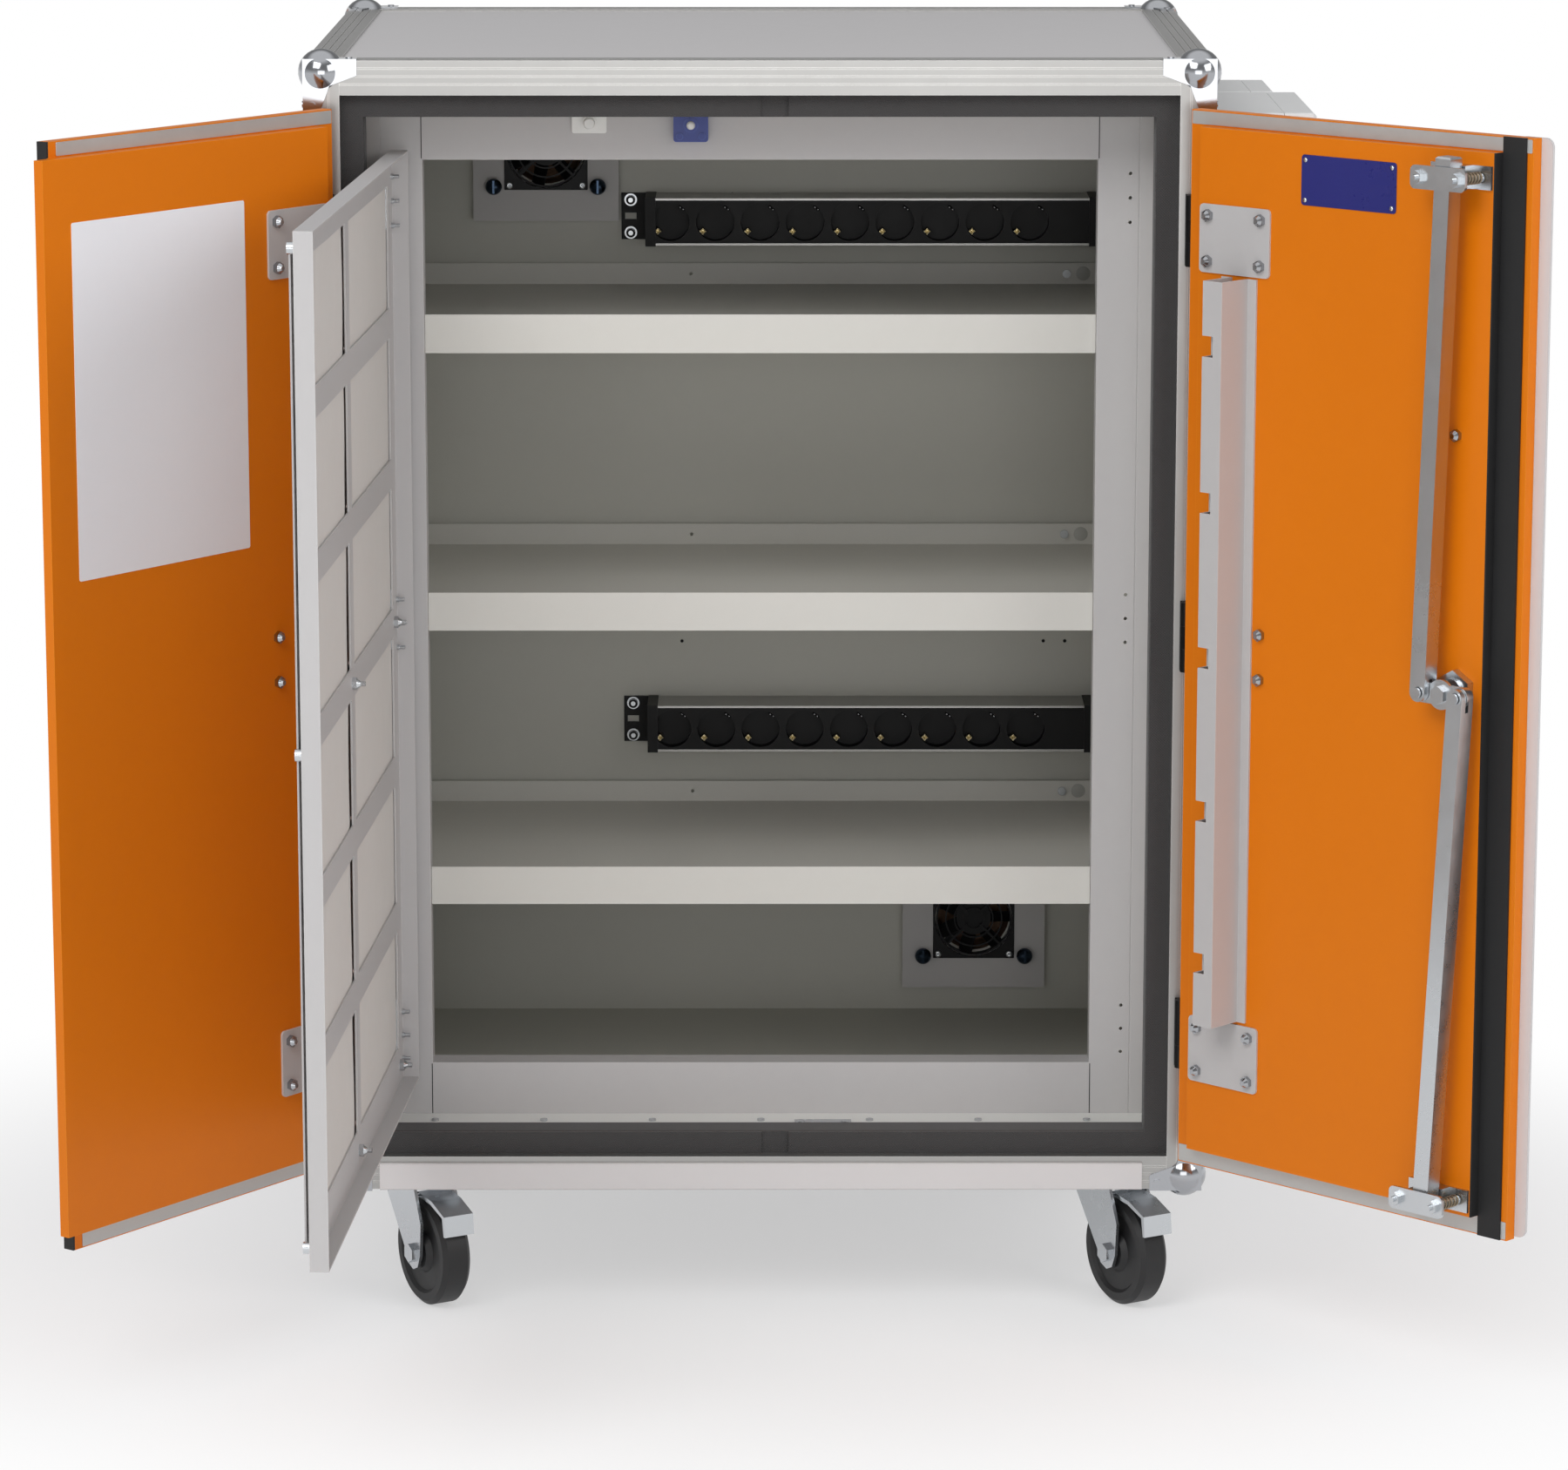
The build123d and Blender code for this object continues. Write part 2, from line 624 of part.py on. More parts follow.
def knobs(x, z):
    """Four slotted ball heads that clamp the fan plate."""
    found = []
    front = LINER_BACK - FAN_PLATE_PROUD
    for sx in (-1, 1):
        for sz in (-1, 1):
            at = (x + sx * KNOB_HALF_SPAN, front, z + sz * KNOB_HALF_RISE)
            knob = disc(4.0, at, (0, -1, 0), 6)
            knob += Pos(at[0], front - 10, at[2]) * Sphere(KNOB_RADIUS)
            knob -= slab((at[0] - 1, at[0] + 1), (front - 20, front - 15), (at[2] - 9, at[2] + 9))
            found.append(knob)
    return found


def button_plate():
    """The white plate behind the push button."""
    ys = (POST_FACE - 3, POST_FACE)
    plate = slab((BUTTON_X - 15.5, BUTTON_X + 15.5), ys, (BUTTON_Z - 9, BUTTON_Z + 12))
    plate = fillet(plate.edges().filter_by(Axis.Y), 2)
    collar = disc(BUTTON_RADIUS + 2, (BUTTON_X, POST_FACE - 3, BUTTON_Z), (0, -1, 0), 2)
    bore = disc(BUTTON_RADIUS + PIN_FIT, (BUTTON_X, POST_FACE + 5, BUTTON_Z), (0, -1, 0), 20)
    return plate + collar - bore


def button():
    """The push button, proud by its travel and a rim."""
    face = POST_FACE - 5 - BUTTON_TRAVEL - 1
    knob = disc(BUTTON_RADIUS, (BUTTON_X, face, BUTTON_Z), (0, 1, 0), POST_FACE - 0.3 - BUTTON_TRAVEL - face)
    return fillet(knob.edges().group_by(Axis.Y)[0], 1.2)


def limit_switch():
    """The limit switch's body with two ears, bored for its plunger."""
    half = SWITCH_WIDTH / 2
    low = SWITCH_Z - SWITCH_HEIGHT / 2
    ys = (POST_FACE - SWITCH_DEPTH, POST_FACE)
    body = slab((SWITCH_X - half, SWITCH_X + half), ys, (low, low + SWITCH_HEIGHT))
    body = fillet(body.edges().filter_by(Axis.Y), 2.5)
    for side in (-1, 1):
        body += disc(3.0, (SWITCH_X + side * 10, ys[0], low + 5), (0, -1, 0), 1.5)
    body += disc(PLUNGER_RADIUS + 2.5, (SWITCH_X, ys[0], SWITCH_Z), (0, -1, 0), 1.5)
    return body - disc(PLUNGER_RADIUS + PIN_FIT, (SWITCH_X, ys[0] + 9, SWITCH_Z), (0, -1, 0), 15)


def plunger():
    """The limit switch's domed plunger."""
    face = POST_FACE - SWITCH_DEPTH - 1.5 - PLUNGER_TRAVEL - 1
    pin = disc(PLUNGER_RADIUS, (SWITCH_X, face, SWITCH_Z), (0, 1, 0), 9)
    return fillet(pin.edges().group_by(Axis.Y)[0], 2.5)


def outer_hinge_fixed(x, z):
    """The leaf on the upright with the outer knuckles and the pin; x is the pin's place."""
    side = 1 if x > 0 else -1
    third = HINGE_HEIGHT / 3
    low = z - HINGE_HEIGHT / 2
    pin = (x, HINGE_Y)
    reach = sorted((x - side * 6, side * (HALF - 2)))
    leaf = slab(reach, (-1.6, 0), (low, low + HINGE_HEIGHT))
    for start in (low, low + 2 * third):
        leaf += disc(HINGE_BARREL, (*pin, start), (0, 0, 1), third)
        leaf += slab((x - 4, x + 4), (HINGE_Y, 0), (start, start + third))
    return leaf + disc(HINGE_PIN, (*pin, low), (0, 0, 1), HINGE_HEIGHT)


def outer_hinge_moving(x, z):
    """The leaf on the door with the middle knuckle."""
    side = 1 if x > 0 else -1
    third = HINGE_HEIGHT / 3
    low = z - HINGE_HEIGHT / 2
    middle = (low + third + FIT, low + 2 * third - FIT)
    edge = side * SKIN_SIDE
    leaf = slab(sorted((edge - side * HINGE_LEAF, edge - side)), (-2, 0), (low, low + HINGE_HEIGHT))
    arm = slab(sorted((edge - side * 8, x)), (-6, -2), middle)
    knuckle = disc(HINGE_BARREL, (x, HINGE_Y, middle[0]), (0, 0, 1), middle[1] - middle[0])
    bore = disc(HINGE_PIN + PIN_FIT, (x, HINGE_Y, low), (0, 0, 1), HINGE_HEIGHT)
    return leaf + arm + knuckle - bore


def cap_nut(x, z, base):
    """A domed nut on the inner face of a door."""
    nut = hexagon(NUT_RADIUS, (x, base, z), (0, 1, 0), NUT_HEIGHT * 0.55)
    tip = Plane(origin=(x, base + NUT_HEIGHT * 0.55, z), z_dir=(0, 1, 0))
    return nut + extrude(tip * Circle(NUT_RADIUS * 0.8), NUT_HEIGHT * 0.45, taper=35)


def door_nuts(side):
    """Four nuts in each end plate and two beside the middle hinge."""
    nuts = []
    base = CORE_FACE + PLATE_THICK
    middle = CORE_SIDE - PLATE_INSET - PLATE_WIDE / 2
    for z in (HINGE_Z[0], HINGE_Z[2]):
        for dx in (-1, 1):
            for dz in (-1, 1):
                x = side * (middle + dx * (PLATE_WIDE / 2 - 10))
                nuts.append(cap_nut(x, z + dz * (PLATE_TALL / 2 - 10), base))
    for dz in (-20, 20):
        nuts.append(cap_nut(side * (CORE_SIDE - 76), HINGE_Z[1] + dz, CORE_FACE))
    return nuts


def door_plates(side):
    """The two plates inside the door behind its end hinges."""
    plates = []
    for z in (HINGE_Z[0], HINGE_Z[2]):
        xs = sorted((side * (CORE_SIDE - PLATE_INSET), side * (CORE_SIDE - PLATE_INSET - PLATE_WIDE)))
        zs = (z - PLATE_TALL / 2, z + PLATE_TALL / 2)
        plate = slab(xs, (CORE_FACE, CORE_FACE + PLATE_THICK), zs)
        plates.append(fillet(plate.edges().filter_by(Axis.Y), 4))
    return plates


def door_skin(side, free_edge):
    """A door's outer board."""
    xs = sorted((side * SKIN_SIDE, free_edge))
    return slab(xs, (0, DOOR_SKIN), (SKIN_LOW, SKIN_HIGH))


def door_core(side, free_edge):
    """A door's inner board."""
    xs = sorted((side * CORE_SIDE, free_edge))
    return slab(xs, (DOOR_SKIN, CORE_FACE), (CORE_LOW, CORE_HIGH))


def astragal():
    """The cover strip outside the right door's free edge, with rounded corners."""
    xs = (RIGHT_SKIN_EDGE - COVER_OUT, RIGHT_SKIN_EDGE + COVER_IN)
    strip = slab(xs, (-COVER_STRIP, 0), (SKIN_LOW + EDGE_TRIM, SKIN_HIGH))
    strip = fillet(strip.edges().filter_by(Axis.Y), COVER_RADIUS)
    return strip - slab((xs[0] - 1, RIGHT_SKIN_EDGE), (-0.5, 1), (0, TOP))


def edge_rubber():
    """The rubber at the right door's free edge: a flat strip and a lining of the core's edge."""
    lining = slab((RIGHT_CORE_EDGE, RIGHT_CORE_EDGE + 1.5), (DOOR_SKIN, CORE_FACE), (CORE_LOW, CORE_HIGH))
    xs = (RIGHT_CORE_EDGE - RUBBER_WIDE, RIGHT_CORE_EDGE)
    return lining + slab(xs, (DOOR_SKIN, DOOR_SKIN + RUBBER_THICK), (SKIN_LOW, SKIN_HIGH))


def seal_ring():
    """The black seal around the opening, pressed in where the right door's rubber meets it."""
    ys = (SEAL_FACE, SEAL_FACE + SEAL_THICK)
    seal = ring((OPEN_HALF, OPEN_LOW, OPEN_HIGH), (IN_HALF, IN_LOW, IN_HIGH), ys)
    xs = (RIGHT_CORE_EDGE - RUBBER_WIDE - FIT, RIGHT_CORE_EDGE + FIT)
    return seal - slab(xs, (0, DOOR_SKIN + RUBBER_THICK + FIT), (0, TOP))


def lock_channel():
    """The folded channel with five notches across its front corner."""
    x0, x1 = CHANNEL_X
    back = CORE_FACE + CHANNEL_DEEP
    body = slab((x0, x1), (CORE_FACE, back), CHANNEL_Z)
    body -= slab((x0 + SHEET, x1 - SHEET), (CORE_FACE - 1, back - SHEET), (0, TOP))
    for side in (-1, 1):
        x = sorted(((x0 if side < 0 else x1), (x0 if side < 0 else x1) + side * 9))
        body += slab(x, (CORE_FACE, CORE_FACE + SHEET), CHANNEL_Z)
    middle = (CHANNEL_Z[0] + CHANNEL_Z[1]) / 2
    for step in range(NOTCH_COUNT):
        z = middle + (step - (NOTCH_COUNT - 1) / 2) * NOTCH_PITCH
        body -= slab((x1 - 12, x1 + 1), (back - 12, back + 1), (z - NOTCH / 2, z + NOTCH / 2))
    return body


def guide(up):
    """One rod guide: base, shoe, two studs with springs and nuts, and the strap."""
    x = LOCK_X + GUIDE_SHIFT
    z = LOCK_Z - GUIDE_DROP + up * GUIDE_REACH
    low, high = GUIDE_STUDS
    zs = (z - 10, z + 10)
    near = ROD_CENTRE - ROD / 2 - ROD_FIT
    far = ROD_CENTRE + ROD / 2 + ROD_FIT
    body = slab((x + low - 12, x + high + 12), (CORE_FACE, CORE_FACE + 3), zs)
    body += slab((x - 11, x + 11), (CORE_FACE, near), zs)
    strap = slab((x + low - 9, x + high + 9), (far, far + 3), zs)
    body += fillet(strap.edges().filter_by(Axis.Y), 5)
    for shift in GUIDE_STUDS:
        at = (x + shift, CORE_FACE, z)
        body += disc(STUD_RADIUS, at, (0, 1, 0), far + 11 - CORE_FACE)
        body += disc(SPRING_RADIUS, (x + shift, CORE_FACE + 3, z), (0, 1, 0), far - CORE_FACE - 3)
        body += hexagon(6.0, (x + shift, far + 3, z), (0, 1, 0), 5)
    return body


def lever():
    """The outside handle with its rose, the shaft through the door and the cam inside."""
    shaft = disc(SHAFT_RADIUS, (LOCK_X, -14, LOCK_Z), (0, 1, 0), ROD_CENTRE + 14)
    grip = slab((LOCK_X - 11, LOCK_X + 11), (-34, -22), (LOCK_Z - 12, LOCK_Z + 125))
    grip = fillet(grip.edges().filter_by(Axis.Y), 9)
    hub = disc(15, (LOCK_X, -34, LOCK_Z), (0, 1, 0), 27)
    return shaft + grip + hub


def cam():
    """The double-armed cam plate with its two rod pins and its bolt."""
    ys = (ROD_CENTRE - CAM_THICK / 2, ROD_CENTRE + CAM_THICK / 2)
    plate = slab((LOCK_X - CAM_ARM, LOCK_X + CAM_ARM), ys, (LOCK_Z - CAM_HALF, LOCK_Z + CAM_HALF))
    for side in (-1, 1):
        x = LOCK_X + side * CAM_ARM
        plate += disc(CAM_HALF, (x, ys[0], LOCK_Z), (0, 1, 0), CAM_THICK)
    plate += disc(13, (LOCK_X, ys[0], LOCK_Z), (0, 1, 0), CAM_THICK)
    for side in (-1, 1):
        x = LOCK_X + side * CAM_ARM
        start = ROD_CENTRE - ROD / 2 - 1
        plate += disc(LOCK_PIN, (x, start, LOCK_Z), (0, 1, 0), ROD + 2)
        plate += disc(LOCK_PIN + 2, (x, start + ROD + 2, LOCK_Z), (0, 1, 0), 2)
    plate += hexagon(8, (LOCK_X, ys[1], LOCK_Z), (0, 1, 0), 5)
    return plate - disc(SHAFT_RADIUS + PIN_FIT, (LOCK_X, 0, LOCK_Z), (0, 1, 0), ROD_CENTRE)


def lock_housing():
    """The big nut and sleeve that hold the shaft in the door."""
    nut = hexagon(19, (LOCK_X, CORE_FACE, LOCK_Z), (0, 1, 0), 8)
    nut += disc(12, (LOCK_X, CORE_FACE, LOCK_Z), (0, 1, 0), 11)
    nut += disc(17, (LOCK_X, 0, LOCK_Z), (0, -1, 0), 6)
    nut += disc(11, (LOCK_X, 0, LOCK_Z), (0, 1, 0), CORE_FACE)
    return nut - disc(SHAFT_RADIUS + PIN_FIT, (LOCK_X, -10, LOCK_Z), (0, 1, 0), 60)


def lock_rod(up):
    """A square lock rod from its cam pin to its tip, leaning to its guide."""
    pin_x = LOCK_X + up * CAM_ARM
    half = ROD / 2
    ys = (ROD_CENTRE - half, ROD_CENTRE + half)
    bar = slab((-half, half), ys, (0, ROD_REACH))
    bar = chamfer(bar.faces().sort_by(Axis.Z)[-1].edges(), 1.5)
    bar += disc(half, (0, ys[0], 0), (0, 1, 0), ROD)
    gap = CAM_THICK / 2 + CAM_FIT
    fork = (ROD_CENTRE - gap, ROD_CENTRE + gap)
    bar -= slab((-half - 1, half + 1), fork, (-half - 1, CAM_HALF + 3))
    bar -= disc(LOCK_PIN + PIN_FIT, (0, ys[0] - 1, 0), (0, 1, 0), ROD + 2)
    if up < 0:
        bar = mirror(bar, about=Plane.XY)
    shift = LOCK_X + GUIDE_SHIFT - pin_x
    lean = math.degrees(math.atan2(shift, GUIDE_REACH)) * up
    return Pos(pin_x, 0, LOCK_Z) * Rot(0, lean, 0) * bar


def filter_windows():
    """Centres and half sizes of the filter door's windows."""
    wide = (FILTER_RIGHT - FILTER_LEFT - 2 * FILTER_STILE - FILTER_MIDDLE) / FILTER_COLUMNS
    tall = FILTER_Z[1] - FILTER_Z[0] - FILTER_FOOT - FILTER_HEAD - (FILTER_ROWS - 1) * FILTER_BAR
    tall = tall / FILTER_ROWS
    found = []
    for column in range(FILTER_COLUMNS):
        for row in range(FILTER_ROWS):
            x = FILTER_LEFT + FILTER_STILE + wide / 2 + column * (wide + FILTER_MIDDLE)
            z = FILTER_Z[0] + FILTER_FOOT + tall / 2 + row * (tall + FILTER_BAR)
            found.append((x, z, wide / 2, tall / 2))
    return found


def filter_pan():
    """The filter door's sheet pan: a front sheet pierced by windows and a rim towards the back."""
    ys = (FILTER_FACE, FILTER_FACE + FILTER_THICK)
    pan = slab((FILTER_LEFT, FILTER_RIGHT), ys, FILTER_Z)
    xs = (FILTER_LEFT + FILTER_WALL, FILTER_RIGHT - FILTER_WALL)
    pan -= slab(xs, (ys[0] + FILTER_WALL, ys[1] + 1), (FILTER_Z[0] + FILTER_WALL, FILTER_Z[1] - FILTER_WALL))
    for x, z, wide, tall in filter_windows():
        pan -= slab((x - wide, x + wide), (ys[0] - 1, ys[1]), (z - tall, z + tall))
    return pan


def filter_cover():
    """The grid screwed to the pan's front that holds the mats in place."""
    ys = (FILTER_FACE - MAT_THICK - FILTER_WALL, FILTER_FACE - MAT_THICK)
    xs = (FILTER_LEFT + COVER_INSET, FILTER_RIGHT - COVER_INSET)
    grid = slab(xs, ys, (FILTER_Z[0] + COVER_INSET, FILTER_Z[1] - COVER_INSET))
    for x, z, wide, tall in filter_windows():
        grid -= slab((x - wide, x + wide), (ys[0] - 1, ys[1] + 1), (z - tall, z + tall))
    for x in FILTER_NUT_X:
        for z in FILTER_NUT_Z:
            grid += disc(4.0, (x, ys[0], z), (0, 1, 0), MAT_THICK + FILTER_WALL)
    return grid


def filter_mats():
    """One filter mat behind each window, held between the pan and the cover grid."""
    mats = []
    for x, z, wide, tall in filter_windows():
        xs = (x - wide - MAT_LAP, x + wide + MAT_LAP)
        zs = (z - tall - MAT_LAP, z + tall + MAT_LAP)
        mats.append(slab(xs, (FILTER_FACE - MAT_THICK, FILTER_FACE), zs))
    return mats


def filter_knuckles(z):
    """Lowest heights of the three knuckles of a filter hinge, and the height of one."""
    third = FILTER_HINGE_TALL / 3
    low = z - FILTER_HINGE_TALL / 2
    return (low, low + third, low + 2 * third), third


def filter_hinge_moving(z):
    """The filter hinge's leaf on the door edge with its middle knuckle."""
    y = FILTER_FACE + FILTER_THICK / 2
    lows, third = filter_knuckles(z)
    middle = (lows[1] + FIT, lows[2] - FIT)
    xs = (FILTER_LEFT - FILTER_WALL, FILTER_LEFT)
    leaf = slab(xs, (y - 7, y + 7), (lows[0], lows[0] + FILTER_HINGE_TALL))
    barrel = disc(FILTER_BARREL, (FILTER_HINGE_X, y, middle[0]), (0, 0, 1), middle[1] - middle[0])
    arm = slab((FILTER_HINGE_X, FILTER_LEFT), (y - FILTER_WALL, y + FILTER_WALL), middle)
    bore = disc(FILTER_HINGE_PIN + PIN_FIT, (FILTER_HINGE_X, y, lows[0]), (0, 0, 1), FILTER_HINGE_TALL)
    return leaf + barrel + arm - bore


def filter_hinge_fixed(z):
    """The filter hinge's leaf on the post with the outer knuckles and the pin."""
    y = FILTER_FACE + FILTER_THICK / 2
    lows, third = filter_knuckles(z)
    edge = FILTER_HINGE_X - 1
    zs = (lows[0], lows[0] + FILTER_HINGE_TALL)
    leaf = slab((edge - POST_LEAF, edge), (POST_FACE - FILTER_WALL, POST_FACE), zs)
    for start in (lows[0], lows[2]):
        leaf += disc(FILTER_BARREL, (FILTER_HINGE_X, y, start), (0, 0, 1), third)
        leaf += slab((FILTER_HINGE_X - FILTER_BARREL, edge), (y, POST_FACE), (start, start + third))
    return leaf + disc(FILTER_HINGE_PIN, (FILTER_HINGE_X, y, lows[0]), (0, 0, 1), FILTER_HINGE_TALL)


def filter_pins():
    """Bumpers on the front, cap nuts on the back and the screw ends of the hinges."""
    pins = [disc(5.0, (FILTER_RIGHT - 6, FILTER_FACE, z), (0, -1, 0), 5.5) for z in BUMPER_Z]
    back = FILTER_FACE + FILTER_WALL
    for x in FILTER_NUT_X:
        for z in FILTER_NUT_Z:
            nut = cap_nut(x, z, back)
            pins.append(nut + disc(2.2, (x, back + NUT_HEIGHT - 1, z), (0, 1, 0), 5.0))
    for z in FILTER_HINGE_Z:
        for step in (-1, 0, 1):
            start = (FILTER_LEFT + 8, back, z + step * HINGE_SCREW_PITCH)
            pins.append(disc(2.6, start, (0, 1, 0), 2.4) + disc(1.8, start, (0, 1, 0), 7.5))
    return pins


def wheel(x, y, turn):
    """A castor wheel with rounded tread and hub recesses, its axle along local x."""
    half = WHEEL_WIDTH / 2
    with BuildPart() as part:
        with BuildSketch(Plane.XZ):
            with BuildLine():
                Polyline(
                    (AXLE_RADIUS + PIN_FIT, -half), (16, -half), (20, -half + 5), (36, -half + 5),
                    (39, -half + 2), (WHEEL_RADIUS - 4, -half + 2), (WHEEL_RADIUS, -half + 6),
                    (WHEEL_RADIUS, half - 6), (WHEEL_RADIUS - 4, half - 2), (39, half - 2),
                    (36, half - 5), (20, half - 5), (16, half), (AXLE_RADIUS + PIN_FIT, half),
                    close=True,
                )
            make_face()
        revolve(axis=Axis.Z)
    return Pos(x, y, WHEEL_RADIUS) * Rot(0, 0, turn) * Rot(0, 90, 0) * part.part


def fork(trail):
    """A castor fork about its own upright axis: a crown, two cheeks and the axle."""
    inner = WHEEL_WIDTH / 2 + FORK_GAP
    outer = inner + FORK_SHEET
    crown_top = BOTTOM + SKIN - 13
    crown = slab((-outer, outer), (-30 - trail * 0.2, 30), (crown_top - 5, crown_top))
    outline = Polyline(
        (-trail - 14, 50), (-trail - 9, 38), (-trail, 34), (-trail + 10, 38), (-trail + 16, 50),
        (30, crown_top - 1), (-30 - trail * 0.2, crown_top - 1), (-trail - 16, 80), close=True,
    )
    cheek = extrude(Plane(origin=(inner, 0, 0), x_dir=(0, 1, 0), z_dir=(1, 0, 0)) * make_face(outline), FORK_SHEET)
    body = crown + cheek + left_of(cheek)
    body += disc(AXLE_RADIUS, (-outer - 4, -trail, WHEEL_RADIUS), (1, 0, 0), 2 * outer + 8)
    for side in (-1, 1):
        start = (side * outer, -trail, WHEEL_RADIUS)
        body += hexagon(9, start, (side, 0, 0), 5)
    return body


def castor_top(x, y):
    """A swivel castor's top plate and bearing cup."""
    seat = BOTTOM + SKIN
    plate = slab((x - CASTOR_PLATE_X / 2, x + CASTOR_PLATE_X / 2), (y - CASTOR_PLATE_Y / 2, y + CASTOR_PLATE_Y / 2), (seat - 4, seat))
    plate = fillet(plate.edges().filter_by(Axis.Z), 8)
    cup = disc(27, (x, y, seat - 4), (0, 0, -1), 9 - FIT)
    return plate + cup + disc(6, (x, y, seat - 4), (0, 0, -1), 14)


def rear_castor(x):
    """A fixed castor's plate and fork in one."""
    seat = BOTTOM + SKIN
    plate = slab((-CASTOR_PLATE_X / 2, CASTOR_PLATE_X / 2), (-CASTOR_PLATE_Y / 2, CASTOR_PLATE_Y / 2), (seat - 4, seat))
    plate = fillet(plate.edges().filter_by(Axis.Z), 8)
    body = plate + fork(0) + slab((-21, 21), (-30, 30), (seat - 14, seat - 4))
    return Pos(x, CASTOR_REAR, 0) * body


def pedal():
    """The brake pedal: a stamped lever over the wheel with a turned-down toe."""
    y = -CASTOR_TRAIL
    width = 15.0
    outline = Polyline(
        (y + 2, 107), (y + 4, 103), (y - 24, 100.5), (y - 47, 93), (y - 50, 76), (y - 53, 76),
        (y - 51, 95), (y - 26, 104), close=True,
    )
    plate = extrude(Plane(origin=(-width, 0, 0), x_dir=(0, 1, 0), z_dir=(1, 0, 0)) * make_face(outline), 2 * width)
    pin = disc(PEDAL_PIN, (-WHEEL_WIDTH / 2 - FORK_GAP - FORK_SHEET, *PEDAL_AT), (1, 0, 0), FORK_WIDTH)
    return plate + pin


def castor_place(shape, x):
    """A front castor's piece turned and moved to its swivel axis."""
    return Pos(x, CASTOR_FRONT, 0) * Rot(0, 0, CASTOR_TURN) * shape


def side_box():
    """The control box on the right wall: a deep and a shallow part, each a tub with a lid."""
    parts = []
    zs = (BOX_TOP - BOX_HEIGHT, BOX_TOP)
    for start, end, proud in zip(BOX_Y[:-1], BOX_Y[1:], BOX_PROUD):
        ys = (start, end - 1)
        split = HALF + proud * BOX_SPLIT
        tub = slab((HALF - SKIN, split), ys, zs)
        tub = fillet(tub.edges().filter_by(Axis.X), 4)
        inner = (start + BOX_WALL, end - 1 - BOX_WALL), (zs[0] + BOX_WALL, zs[1] - BOX_WALL)
        parts.append(tub - slab((HALF - SKIN - 1, split + 1), *inner))
        lid = slab((split + 0.5, HALF + proud), ys, zs)
        lid = fillet(lid.edges().filter_by(Axis.X), 5)
        lid = chamfer(lid.faces().sort_by(Axis.X)[-1].edges(), 3)
        parts.append(lid - slab((split, HALF + proud - 3 - BOX_WALL), *inner))
    return parts


